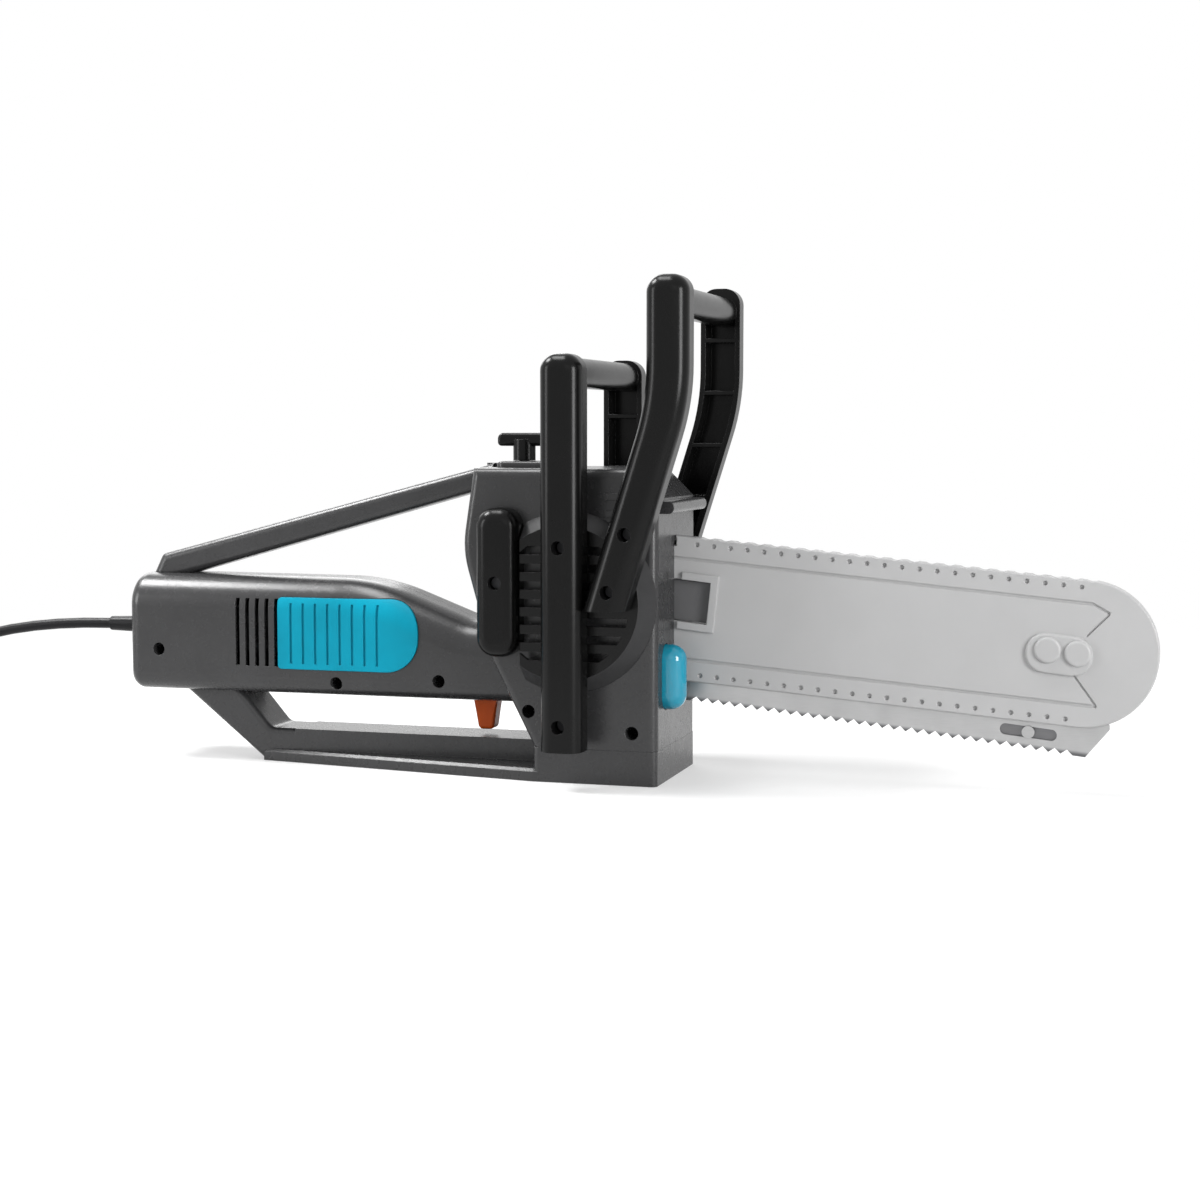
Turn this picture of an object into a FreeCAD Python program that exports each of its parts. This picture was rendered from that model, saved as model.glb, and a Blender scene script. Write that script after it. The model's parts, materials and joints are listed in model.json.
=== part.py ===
import FreeCAD
import Part

import math
import os

import Sketcher

doc = FreeCAD.newDocument("carving_knife")
sheet = doc.addObject("Spreadsheet::Sheet", "Sizes")


class Dim(float):
    """A length that carries the sheet expression it comes from."""

    def __new__(cls, value, text=None):
        made = float.__new__(cls, value)
        made.text = text or "({:.6f})".format(value)
        return made

    def _join(self, other, sign, value, swapped=False):
        other = other if isinstance(other, Dim) else Dim(other)
        first, second = (other, self) if swapped else (self, other)
        return Dim(value, "({} {} {})".format(first.text, sign, second.text))

    def __add__(self, other):
        return self._join(other, "+", float(self) + float(other))

    def __radd__(self, other):
        return self._join(other, "+", float(other) + float(self), True)

    def __sub__(self, other):
        return self._join(other, "-", float(self) - float(other))

    def __rsub__(self, other):
        return self._join(other, "-", float(other) - float(self), True)

    def __mul__(self, other):
        return self._join(other, "*", float(self) * float(other))

    def __rmul__(self, other):
        return self._join(other, "*", float(other) * float(self), True)

    def __truediv__(self, other):
        return self._join(other, "/", float(self) / float(other))

    def __neg__(self):
        return Dim(-float(self), "(0 - {})".format(self.text))


def sine(angle):
    return Dim(math.sin(math.radians(angle)), "sin({})".format(angle.text))


def cosine(angle):
    return Dim(math.cos(math.radians(angle)), "cos({})".format(angle.text))


def tangent(angle):
    return Dim(math.tan(math.radians(angle)), "tan({})".format(angle.text))


sheet_rows = [0]


def size(alias, value, note):
    """Put one driving size in the sheet and return it."""
    sheet_rows[0] += 1
    row = sheet_rows[0]
    sheet.set("A{}".format(row), note)
    sheet.set("B{}".format(row), str(value))
    sheet.setAlias("B{}".format(row), alias)
    return Dim(value, "Sizes.{}".format(alias))


# Housing body, seen from the side.
front_x = size("front_x", 34, "body front face from the line that lengthwise places are measured from")
body_length = size("body_length", 97, "body front face to its rearmost bulge")
body_width = size("body_width", 74, "body across")
body_top = size("body_top", 149, "body top above the floor")
body_top_length = size("body_top_length", 91, "flat top of the body")
body_toe_length = size("body_toe_length", 61, "body length where it meets the base")
body_front_slope = size("body_front_slope", 14, "sloped edge above the front face")
bulge_level = size("bulge_level", 110, "height of the rearmost bulge")
heel_level = size("heel_level", 57, "height where the body starts to slope forward")
heel_inset = size("heel_inset", 15, "heel in front of the bulge")
hood_level = size("hood_level", 128, "underside of the hood on the front face")
hood_height = size("hood_height", 6, "hood depth up the front face")
hood_reach = size("hood_reach", 7, "hood in front of the front face")
hood_width = size("hood_width", 64, "hood across")
hood_edge = size("hood_edge", 2.8, "rounding of the hood's front")
shell_wall = size("shell_wall", 2.5, "housing wall")
body_round = size("body_round", 4, "rounding of the body's side edges")
bulge_round = size("bulge_round", 45, "rounding of the rear bulge")
heel_round = size("heel_round", 15, "rounding of the heel")
blade_slot_drop = size("blade_slot_drop", 9.5, "blade slot's lower end below the drive gear centre")
seam_gap = size("seam_gap", 0.1, "gap between loose inner pieces and their seats")

# Handle.
handle_length = size("handle_length", 186, "handle behind the bulge")
handle_bottom = size("handle_bottom", 35, "handle underside above the floor")
handle_height = size("handle_height", 59, "handle rear section, height")
handle_width = size("handle_width", 48, "handle rear section, across")
shoulder_round = size("shoulder_round", 16, "rounding between the handle's side and top")
keel_round = size("keel_round", 9, "rounding between the handle's side and underside")
handle_end_round = size("handle_end_round", 6, "rounding round the rear face")
side_reach = size("side_reach", 7, "cuts in the handle's side stop this far from the middle plane")
brow_x = size("brow_x", -118, "where the handle's top starts to fall")
brow_drop = size("brow_drop", 0.8, "top drop up to there")
brow_round = size("brow_round", 110, "rounding where the top starts to fall")
neck_x = size("neck_x", -66, "where the top stops falling")
neck_drop = size("neck_drop", 20.5, "top drop at the neck")
neck_round = size("neck_round", 30, "rounding at the neck")
root_x = size("root_x", -30, "handle end inside the body")
root_drop = size("root_drop", 22.5, "top drop inside the body")
vent_count = size("vent_count", 5, "vent slots in one side")
vent_pitch = size("vent_pitch", 5.3, "vent slot spacing")
vent_width = size("vent_width", 2.3, "vent slot across")
vent_first_x = size("vent_first_x", -188.5, "rearmost vent slot")
vent_low = size("vent_low", 49, "vent slot lower end")
vent_high = size("vent_high", 83, "vent slot upper end")

# Grip pads.
grip_rear_x = size("grip_rear_x", -165, "grip pad rear end")
grip_front_x = size("grip_front_x", -90, "grip pad front end")
grip_low = size("grip_low", 48, "grip pad lower edge")
grip_high = size("grip_high", 84, "grip pad upper edge")
grip_proud = size("grip_proud", 0.9, "grip pad above the shell")
grip_sunk = size("grip_sunk", 1.2, "grip pad below the shell's surface")
grip_nose_round = size("grip_nose_round", 17, "rounding of the grip pad's front end")
grip_groove_count = size("grip_groove_count", 8, "grooves in a grip pad")
grip_groove_pitch = size("grip_groove_pitch", 6.6, "grip groove spacing")
grip_groove_width = size("grip_groove_width", 1.2, "grip groove across")
grip_groove_depth = size("grip_groove_depth", 0.9, "grip groove depth")
grip_groove_margin = size("grip_groove_margin", 3, "grip pad left beyond each groove's ends")
grip_corner = size("grip_corner", 2, "rear corners of a grip pad")

# Base guard.
sled_height = size("sled_height", 16.5, "base top above the floor")
sled_plate = size("sled_plate", 6, "flared bottom plate")
sled_rear_x = size("sled_rear_x", -178, "rear corner of the base")
sled_rear_width = size("sled_rear_width", 30, "bottom plate across at the rear")
sled_front_width = size("sled_front_width", 74, "base across under the body")
beam_width = size("beam_width", 28, "guard beam across")
strut_rear_x = size("strut_rear_x", -222, "strut's rear corner under the handle")
strut_front_x = size("strut_front_x", -191, "strut's front corner under the handle")
strut_inner_x = size("strut_inner_x", -175, "strut's inner corner above the base")
base_round = size("base_round", 3, "rounding of the base's edges")

# Top brace.
brace_width = size("brace_width", 16, "brace across")
brace_foot_rear_x = size("brace_foot_rear_x", -243, "rear end of the brace's foot")
brace_foot_front_x = size("brace_foot_front_x", -221, "front end of the brace's foot")
brace_foot_height = size("brace_foot_height", 9.5, "foot height at the rear end")
brace_drop = size("brace_drop", 10, "brace underside below the body's top")
brace_round = size("brace_round", 4, "rounding of the brace's edges")
brace_tongue_width = size("brace_tongue_width", 8, "tongues that seat the brace, across")
brace_rise = size("brace_rise", 2, "brace above the body's top")
brace_tongue_drop = size("brace_tongue_drop", 5, "upper tongue below the body's top")
brace_lip_gap = size("brace_lip_gap", 0.3, "brace lip to the top cover")

# Hoops.
hoop_outer = size("hoop_outer", 62, "outside of a hoop leg from the middle plane")
hoop_depth = size("hoop_depth", 14.5, "hoop section, inside to outside")
hoop_width = size("hoop_width", 20, "hoop section, front to rear")
hoop_dome = size("hoop_dome", 8, "rounding of a hoop leg's top, seen from the side")
hoop_bar_width = size("hoop_bar_width", 16, "bar across a hoop's legs, front to rear")
hoop_bar_height = size("hoop_bar_height", 14, "bar across a hoop's legs, height")
hoop_bar_round = size("hoop_bar_round", 6.5, "rounding of the bar across a hoop's legs")
wrap_bar_drop = size("wrap_bar_drop", 1.5, "front handle's bar below the tops of its legs")
guard_bar_drop = size("guard_bar_drop", 4.5, "hand guard's bar below the tops of its legs")
hoop_round = size("hoop_round", 7, "rounding of a hoop's outer edges")
hoop_wall = size("hoop_wall", 2.6, "hoop wall round its channel")
hoop_rib_pitch = size("hoop_rib_pitch", 26, "rib spacing inside a hoop")
hoop_rib = size("hoop_rib", 2, "rib thickness inside a hoop")
wrap_x = size("wrap_x", -6.5, "front handle hoop, middle of its legs")
wrap_top = size("wrap_top", 202, "front handle hoop, top")
wrap_bottom = size("wrap_bottom", 18, "front handle hoop, lower end of its legs")
guard_x = size("guard_x", 44, "hand guard hoop, middle of its upper legs")
guard_top = size("guard_top", 237, "hand guard hoop, top")
guard_bend_level = size("guard_bend_level", 180, "hand guard hoop, bend in its legs")
guard_bottom = size("guard_bottom", 84, "hand guard hoop, lower end of its legs")
guard_bend_round = size("guard_bend_round", 110, "rounding of the bend in the hand guard")
hoop_gap = size("hoop_gap", 0.5, "gap between the two hoops at the hand guard's lower ends")
guard_bottom_x = wrap_x + hoop_width + hoop_gap
side_rib_rear_x = size("side_rib_rear_x", 9, "side ribs of the body, rear end")
side_rib_front_x = size("side_rib_front_x", 28, "side ribs of the body, front end")
side_rib_low = size("side_rib_low", 126.5, "lower side rib above the floor")
side_rib_high = size("side_rib_high", 134.5, "upper side rib above the floor")
side_rib_width = size("side_rib_width", 3, "side rib")
side_rib_proud = size("side_rib_proud", 1.2, "side rib proud of the body")
post_radius = size("post_radius", 6, "post that carries a hoop leg")
post_gap = size("post_gap", 0.4, "gap round a post in the fan cover")
hoop_boss_radius = size("hoop_boss_radius", 5, "screw boss inside a hoop leg")
wrap_screw_high = size("wrap_screw_high", 113, "upper screw of the front handle")
wrap_screw_low = size("wrap_screw_low", 30, "lower screw of the front handle")
guard_screw_high = size("guard_screw_high", 119.5, "upper screw of the hand guard")
guard_screw_low = size("guard_screw_low", 93, "lower screw of the hand guard")

# Fan covers and pull bar.
fan_x = size("fan_x", -9, "fan cover centre")
fan_level = size("fan_level", 86, "fan cover centre above the floor")
fan_radius = size("fan_radius", 43, "fan cover at the body")
fan_face_radius = size("fan_face_radius", 36.5, "fan cover face")
fan_height = size("fan_height", 8.5, "fan cover proud of the body")
fan_wall = size("fan_wall", 2.4, "fan cover wall")
louvre_pitch = size("louvre_pitch", 8.3, "louvre spacing")
louvre_width = size("louvre_width", 4, "louvre opening")
louvre_count = size("louvre_count", 7, "louvres in a fan cover")
louvre_radius = size("louvre_radius", 32, "circle the louvres end on")
pull_rear_x = size("pull_rear_x", -52, "pull bar rear edge")
pull_front_x = size("pull_front_x", -31, "pull bar front edge")
pull_low = size("pull_low", 60, "pull bar lower end")
pull_high = size("pull_high", 130.5, "pull bar upper end")
pull_thick = size("pull_thick", 13, "pull bar proud of the body")
pull_round = size("pull_round", 9, "pull bar corner")
pull_edge = size("pull_edge", 6.5, "pull bar edge rounding")
pull_gap = size("pull_gap", 0.6, "gap from the pull bar to the fan cover")

# Top cover and wing knob.
cover_rear_x = size("cover_rear_x", -51, "top cover rear edge")
cover_front_x = size("cover_front_x", -20, "top cover front edge")
cover_width = size("cover_width", 42, "top cover across")
cover_thick = size("cover_thick", 3, "top cover thickness")
cover_corner = size("cover_corner", 4, "top cover corners")
knob_x = size("knob_x", -43, "wing knob centre")
knob_stem_radius = size("knob_stem_radius", 5.5, "wing knob stem")
knob_stem_height = size("knob_stem_height", 7, "wing knob stem")
wing_length = size("wing_length", 26, "wing knob across its wings")
wing_width = size("wing_width", 8, "wing thickness")
wing_height = size("wing_height", 6.5, "wing height")
wing_foot_round = size("wing_foot_round", 2, "rounding under the wings")
wing_tip_round = size("wing_tip_round", 3, "rounding over the wings")
knob_spindle_radius = size("knob_spindle_radius", 2.5, "wing knob spindle")
turn_gap = size("turn_gap", 0.2, "gap between turning faces")
running_gap = size("running_gap", 0.06, "radial clearance of a running shaft")
clip_radius = size("clip_radius", 6, "knob clip")
clip_thick = size("clip_thick", 2, "knob clip")

# Motor.
motor_level = size("motor_level", 64.5, "motor axis above the floor")
can_radius = size("can_radius", 19, "motor can")
can_wall = size("can_wall", 1.5, "motor can wall")
can_rear_x = size("can_rear_x", -206, "motor can rear end")
can_length = size("can_length", 60, "motor can length")
bell_thick = size("bell_thick", 4, "end bell thickness")
bush_radius = size("bush_radius", 5, "motor bush outside")
shaft_radius = size("shaft_radius", 2.5, "motor shaft")
shaft_rear_x = size("shaft_rear_x", -219, "motor shaft rear end")
shaft_front_x = size("shaft_front_x", 17.4, "motor shaft front end")
magnet_inner = size("magnet_inner", 14, "field magnet bore")
magnet_length = size("magnet_length", 32, "field magnet length")
magnet_split_height = size("magnet_split_height", 9.3, "gap between the two field magnets")
core_radius = size("core_radius", 13.4, "armature core")
core_length = size("core_length", 28, "armature core length")
core_slots = size("core_slots", 9, "slots in the armature core")
slot_width = size("slot_width", 2.6, "armature slot")
slot_depth = size("slot_depth", 5, "armature slot")
winding_radius = size("winding_radius", 11.5, "winding overhang")
winding_length = size("winding_length", 5, "winding overhang")
commutator_radius = size("commutator_radius", 6.5, "commutator")
commutator_length = size("commutator_length", 8, "commutator")
brush_size = size("brush_size", 4, "carbon brush, square")
brush_length = size("brush_length", 8, "carbon brush")
card_thick = size("card_thick", 6, "brush card")
fan_disc_radius = size("fan_disc_radius", 17, "cooling fan")
fan_disc = size("fan_disc", 1.5, "cooling fan disc")
fan_blade_depth = size("fan_blade_depth", 5, "cooling fan blade")
fan_blades = size("fan_blades", 9, "cooling fan blades")
fan_hub_radius = size("fan_hub_radius", 5, "cooling fan hub")
mount_thick = size("mount_thick", 4, "motor mount plate")
mount_trim = size("mount_trim", 4, "motor mount below the handle's crown")
mount_inset = size("mount_inset", 6, "motor mounts in from the ends of the motor can")
motor_clear = size("motor_clear", 3, "end bell to winding")

# Gear train.
tooth_module = size("tooth_module", 1, "gear module")
gear_teeth = size("gear_teeth", 28, "drive gear teeth")
gear_width = size("gear_width", 7, "drive gear face")
gear_x = size("gear_x", -6, "drive gear centre")
worm_pitch_radius = size("worm_pitch_radius", 5, "worm pitch circle")
worm_length = size("worm_length", 25, "worm length")
worm_turns = size("worm_turns", 7, "worm thread turns")
tooth_root = size("tooth_root", 1.25, "tooth depth below the pitch circle")
tooth_thin = size("tooth_thin", 1.2, "gear tooth at the pitch circle")
thread_thin = size("thread_thin", 1.2, "worm thread at the pitch line")
tooth_slope = size("tooth_slope", 0.36, "flank run for one module of height")
axle_radius = size("axle_radius", 3, "gear axle")
axle_boss_radius = size("axle_boss_radius", 6, "gear axle boss")
axle_seat = size("axle_seat", 7, "gear axle in each boss")
crank_throw = size("crank_throw", 4, "eccentric throw, half the blade stroke")
eccentric_radius = size("eccentric_radius", 9, "eccentric")
yoke_play = size("yoke_play", 1.1, "yoke window clearance along the stroke")
yoke_clear = size("yoke_clear", 0.4, "yoke window clearance across the stroke")
yoke_rim = size("yoke_rim", 3, "yoke rim")
driver_thick = size("driver_thick", 2.6, "blade driver plate")
driver_gap = size("driver_gap", 2.6, "gear face to blade driver, clear of the worm")
boss_gap = size("boss_gap", 0.9, "blade driver to the gear axle boss")
saddle_length = size("saddle_length", 4, "nose bearing saddle")
saddle_rear_x = size("saddle_rear_x", 13, "nose bearing saddle rear face")

# Blade line: tilted, measured from the drive gear centre.
blade_tilt = size("blade_tilt", 5.9, "blade line below level, degrees")
blade_thick = size("blade_thick", 1.1, "one blade")
blade_gap = size("blade_gap", 0.2, "gap between the blades")
blade_low = size("blade_low", -3.7, "tooth tips from the drive line")
blade_high = size("blade_high", 17, "blade back from the drive line")
blade_reach = size("blade_reach", 244.5, "blade tip from the drive gear centre")
blade_shoulder = size("blade_shoulder", 45, "full blade height starts")
tang_start = size("tang_start", 21.5, "tang's inner end")
tang_low = size("tang_low", -3.2, "tang lower edge")
tang_high = size("tang_high", 10, "tang upper edge")
edge_start = size("edge_start", 48, "first tooth")
edge_pitch = size("edge_pitch", 5.5, "blade tooth spacing")
edge_depth = size("edge_depth", 2.3, "blade tooth depth")
edge_count = size("edge_count", 33, "teeth on one blade")
tip_cut = size("tip_cut", 9.3, "slanted tip")
tip_rise = size("tip_rise", 14, "slanted tip height")
tip_round = size("tip_round", 2, "rounding of the blade tip")
tip_back_round = size("tip_back_round", 4, "rounding of the tip into the blade's back")
rivet_reach = size("rivet_reach", 208.5, "blade rivet from the drive gear centre")
rivet_level = size("rivet_level", 4.2, "blade rivet from the drive line")
rivet_radius = size("rivet_radius", 1.7, "blade rivet shank")
rivet_head = size("rivet_head", 2.9, "blade rivet head")
rivet_head_thick = size("rivet_head_thick", 0.9, "blade rivet head")
rivet_slot = size("rivet_slot", 26, "slot for the blade rivet")
rivet_room = size("rivet_room", 0.9, "slot's edge to the blade rivet")
stud_radius = size("stud_radius", 2, "blade stud on the driver")
stud_reach = size("stud_reach", 27.5, "blade stud from the drive gear centre")
stud_level = size("stud_level", 3, "blade stud from the drive line")
arm_low = size("arm_low", -5, "driver arm lower edge")
arm_high = size("arm_high", 11, "driver arm upper edge")
arm_end = size("arm_end", 32, "driver arm front end")
guide_start = size("guide_start", 20.5, "drive guide rear face")
guide_end = size("guide_end", 35.5, "drive guide front face")
guide_wall = size("guide_wall", 1.3, "drive guide wall")
guide_gap = size("guide_gap", 0.3, "driver to drive guide")

# Guide-bar sheath.
bar_thick = size("bar_thick", 8, "sheath thickness, both halves")
bar_root_gap = size("bar_root_gap", 0.6, "sheath root in front of the body's front face")
bar_root_low = size("bar_root_low", 5.6, "sheath lower edge at its root, from the drive line")
bar_root_high = size("bar_root_high", 75, "sheath upper edge at its root, from the drive line")
bar_tip_low = size("bar_tip_low", 10.4, "line of the lower edge at the nose tip")
bar_tip_high = size("bar_tip_high", 77.8, "line of the upper edge at the nose tip")
nose_tip = size("nose_tip", 262.4, "nose tip from the drive gear centre")
nose_flat = size("nose_flat", 0.4, "straight left in the nose between its two roundings, half of it")
slot_half = size("slot_half", 1.65, "blade slot, half its width")
slot_high = size("slot_high", 18, "blade slot's upper end from the drive line")
slot_end = size("slot_end", 253, "blade slot's front end")
tongue_start = size("tongue_start", 31, "sheath tongue inside the body")
tongue_low = size("tongue_low", 20, "tongue lower edge")
tongue_high = size("tongue_high", 70, "tongue upper edge")
notch_end = size("notch_end", 53, "notch front end")
notch_low = size("notch_low", 34.2, "notch lower edge")
notch_high = size("notch_high", 54.5, "notch upper edge")
lug_gap = size("lug_gap", 0.5, "lug to notch")
lug_thick = size("lug_thick", 4.6, "lug thickness")
lug_round = size("lug_round", 1, "lug's front corners")
lug_start = size("lug_start", 31, "lug's inner end")
rim_width = size("rim_width", 3.5, "raised rim round the notch")
rim_proud = size("rim_proud", 1.6, "raised rim above the sheath")
band_width = size("band_width", 10.6, "chain band along the sheath's edges")
hook_start = size("hook_start", 32, "upper line groove turns down, behind the nose tip")
hook_end = size("hook_end", 24, "upper hook groove's front end behind the nose tip")
hook_back = size("hook_back", 33, "upper hook groove's lower end behind the nose tip")
hook_level = size("hook_level", 63.3, "upper hook groove's front end from the drive line")
hook_low = size("hook_low", 52, "upper hook groove's lower end from the drive line")
vee_end = size("vee_end", 25, "lower vee groove's front end behind the nose tip")
vee_back = size("vee_back", 36.5, "lower vee groove's rear end behind the nose tip")
vee_high = size("vee_high", 33.2, "lower vee groove's rear end from the drive line")
scallop_radius = size("scallop_radius", 5, "scallops in the sheath's upper edge")
scallop_depth = size("scallop_depth", 0.7, "scallops in the sheath's upper edge")
groove_width = size("groove_width", 1.4, "line grooves in the sheath")
groove_depth = size("groove_depth", 0.8, "line grooves in the sheath")
dot_pitch = size("dot_pitch", 8.2, "chain band dot spacing")
dot_radius = size("dot_radius", 1.1, "chain band dot")
dot_depth = size("dot_depth", 1.1, "chain band dot")
dot_inset = size("dot_inset", 3.4, "chain band dot from the edge")
dot_count = size("dot_count", 23, "chain band dots in a row")
dot_start = size("dot_start", 44, "first chain band dot")
bar_edge = size("bar_edge", 0.9, "rounding of the sheath's outer edges")
pad_back = size("pad_back", 35.9, "front nose rivet behind the nose tip")
pad_spacing = size("pad_spacing", 13.6, "nose rivet spacing")
pad_level = size("pad_level", 43.6, "nose rivets from the drive line")
pad_radius = size("pad_radius", 6.1, "nose rivet head")
pad_proud = size("pad_proud", 1.6, "nose rivet head above its boss")
pad_dome = size("pad_dome", 1.4, "rounding of a nose rivet head")
pad_shank = size("pad_shank", 2.5, "nose rivet shank")
boss_length = size("boss_length", 30, "raised boss under the nose rivets, length")
boss_height = size("boss_height", 18.2, "raised boss under the nose rivets, height")
boss_drop = size("boss_drop", 1.6, "middle of the nose boss below the rivets")
boss_proud = size("boss_proud", 1.8, "nose boss above the sheath")
boss_edge = size("boss_edge", 1.1, "rounding of the nose boss")

# Trigger and switch.
trigger_x = size("trigger_x", -60, "trigger pin")
trigger_level = size("trigger_level", 46, "trigger pin above the floor")
trigger_pin_radius = size("trigger_pin_radius", 2, "trigger pin")
trigger_width = size("trigger_width", 9, "trigger across")
trigger_tip = size("trigger_tip", 19, "trigger tip above the floor")
trigger_edge = size("trigger_edge", 1.4, "rounding of the trigger's edges")
trigger_root_rear = size("trigger_root_rear", -69, "trigger rear edge at the handle")
trigger_root_front = size("trigger_root_front", -56, "trigger front edge at the handle")
trigger_tip_rear = size("trigger_tip_rear", -66, "trigger rear edge at the tip")
trigger_tip_front = size("trigger_tip_front", -58.4, "trigger front edge at the tip")
trigger_top = size("trigger_top", 57, "trigger arm top")
trigger_arm = size("trigger_arm", 5, "trigger arm, half its length")
trigger_arm_round = size("trigger_arm_round", 1, "rounding of the trigger arm")
trigger_tip_round = size("trigger_tip_round", 2.5, "rounding of the trigger tip")
trigger_swing = size("trigger_swing", 3.2, "room behind the trigger in the handle")
trigger_gap = size("trigger_gap", 0.5, "gap round the trigger")
trigger_lean = size("trigger_lean", 0.7, "slant of the trigger's front edge within the shell wall")
trigger_boss = size("trigger_boss", 4.5, "trigger pin boss")
switch_rear_x = size("switch_rear_x", -41, "switch rear face")
switch_length = size("switch_length", 14, "switch length")
switch_width = size("switch_width", 13, "switch across")
switch_low = size("switch_low", 49, "switch underside")
switch_high = size("switch_high", 61, "switch top")
plunger_level = size("plunger_level", 54.5, "switch plunger axis")
plunger_radius = size("plunger_radius", 1.8, "switch plunger")
plunger_depth = size("plunger_depth", 6, "switch plunger inside the switch")
plunger_bore = size("plunger_bore", 9, "depth of the switch bore for the plunger")
plunger_gap = size("plunger_gap", 0.5, "trigger arm to switch plunger")
trigger_spring_radius = size("trigger_spring_radius", 2.2, "trigger spring, middle of its wire")
trigger_spring_wire = size("trigger_spring_wire", 0.35, "trigger spring wire radius")
trigger_spring_level = size("trigger_spring_level", 41, "trigger spring axis")
trigger_spring_turns = size("trigger_spring_turns", 5, "trigger spring turns")
spring_wall_x = size("spring_wall_x", -75, "front face of the trigger spring's seat")

# Release button.
button_offset = size("button_offset", 18.9, "release button from the middle plane")
button_level = size("button_level", 50.3, "release button above the floor")
button_width = size("button_width", 15, "release button across")
button_height = size("button_height", 31, "release button height")
button_proud = size("button_proud", 9.8, "release button in front of the face")
button_inside = size("button_inside", 5.3, "release button behind the face")
button_dome = size("button_dome", 7.2, "rounding of the release button's face")
button_gap = size("button_gap", 0.35, "gap round the release button")
button_flange = size("button_flange", 0.8, "release button flange")
button_flange_thick = size("button_flange_thick", 2.3, "release button flange")
button_spring_radius = size("button_spring_radius", 5, "button spring, middle of its wire")
button_spring_wire = size("button_spring_wire", 0.5, "button spring wire radius")
button_spring_turns = size("button_spring_turns", 5, "button spring turns")
spring_seat_x = size("spring_seat_x", 12, "button spring seat")
seat_thick = size("seat_thick", 2.5, "ribs and seats inside the body")
guide_rib_depth = size("guide_rib_depth", 9.8, "drive guide rib below the drive gear centre")

# Screws.
rear_screw_x = size("rear_screw_x", -231.5, "rear shell screw")
rear_screw_level = size("rear_screw_level", 56, "rear shell screw above the floor")
middle_screw_x = size("middle_screw_x", -134, "middle shell screw")
middle_screw_level = size("middle_screw_level", 41.6, "middle shell screw above the floor")
neck_screw_x = size("neck_screw_x", -79.6, "neck shell screw")
neck_screw_level = size("neck_screw_level", 44.5, "neck shell screw above the floor")
heel_screw_x = size("heel_screw_x", -29, "heel shell screw")
heel_screw_level = size("heel_screw_level", 33.5, "heel shell screw above the floor")
toe_screw_x = size("toe_screw_x", 22, "toe shell screw")
toe_screw_level = size("toe_screw_level", 25, "toe shell screw above the floor")
front_screw_x = size("front_screw_x", 22, "upper front shell screw")
front_screw_level = size("front_screw_level", 132, "upper front shell screw above the floor")
top_screw_x = size("top_screw_x", -6, "top shell screw")
top_screw_level = size("top_screw_level", 138, "top shell screw above the floor")
block_screw_x = size("block_screw_x", 10, "base screws under the body")
block_screw_offset = size("block_screw_offset", 20, "base screws under the body, from the middle plane")
block_boss_height = size("block_boss_height", 10, "screw bosses inside the body above the base")
strut_screw_x = size("strut_screw_x", -206.5, "base screws under the handle")
strut_screw_offset = size("strut_screw_offset", 7, "base screws under the handle, from the middle plane")
strut_boss_height = size("strut_boss_height", 8, "screw bosses inside the handle above its underside")
base_screw_seat = size("base_screw_seat", 6.4, "base screw seats below the base's top")
screw_shank = size("screw_shank", 1.5, "screw shank radius")
screw_hole = size("screw_hole", 1.7, "clearance hole for a screw, radius")
screw_head = size("screw_head", 2.8, "screw head radius")
screw_head_height = size("screw_head_height", 2.2, "screw head height")
screw_sink = size("screw_sink", 3.2, "screw recess radius")
boss_radius = size("boss_radius", 3.9, "screw boss radius")
screw_seat = size("screw_seat", 4, "shell screw seat from the middle plane")
screw_grip = size("screw_grip", 7, "shell screw beyond the middle plane")
hoop_screw_grip = size("hoop_screw_grip", 9, "hoop screw in its post")

# Cord.
cord_radius = size("cord_radius", 2.75, "power cord")
cord_level = size("cord_level", 66, "cord outlet above the floor")
relief_radius = size("relief_radius", 4.4, "strain relief at the handle")
relief_tip_radius = size("relief_tip_radius", 3.7, "strain relief tip")
relief_length = size("relief_length", 22.5, "strain relief behind the handle")
relief_flange = size("relief_flange", 7, "strain relief flange inside the handle")
relief_flange_thick = size("relief_flange_thick", 3, "strain relief flange inside the handle")
lead_length = size("lead_length", 24, "inner lead beyond the rear wall")
lead_clamp_length = size("lead_clamp_length", 5, "cord clamp rib")
cord_droop_x = size("cord_droop_x", -340, "where the cord starts to droop")
cord_fall_x = size("cord_fall_x", -406, "middle of the cord's fall")
cord_fall_offset = size("cord_fall_offset", 14, "middle of the cord's fall, to the near side")
cord_fall_level = size("cord_fall_level", 28, "middle of the cord's fall above the floor")
cord_floor_x = size("cord_floor_x", -456, "where the cord reaches the floor")
coil_x = size("coil_x", -520, "cord coil centre")
coil_inner = size("coil_inner", 24, "innermost turn of the coil")
coil_turns = size("coil_turns", 3, "turns in one layer of the coil")
coil_step = size("coil_step", 6.2, "spacing of the coil's turns")
coil_layer = size("coil_layer", 6.2, "spacing of the coil's two layers")
coil_lead = size("coil_lead", 8, "straight start of the coil")
coil_tail = size("coil_tail", 44, "straight end of the coil, up to the plug")
tie_thick = size("tie_thick", 1.2, "cord tie strap")
tie_width = size("tie_width", 8, "cord tie strap")
tie_gap = size("tie_gap", 0.4, "cord tie strap to the coil")
tie_round = size("tie_round", 3, "outer corners of the tie")
plug_length = size("plug_length", 34, "plug body")
plug_width = size("plug_width", 26, "plug body across")
plug_neck = size("plug_neck", 12, "plug body across where the cord enters")
plug_round = size("plug_round", 5, "plug body rounding")
plug_corner = size("plug_corner", 2, "plug body corners at the pins")
pin_radius = size("pin_radius", 2, "plug pin")
pin_length = size("pin_length", 19, "plug pin")
pin_spacing = size("pin_spacing", 19, "plug pin spacing")

doc.recompute()

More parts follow.
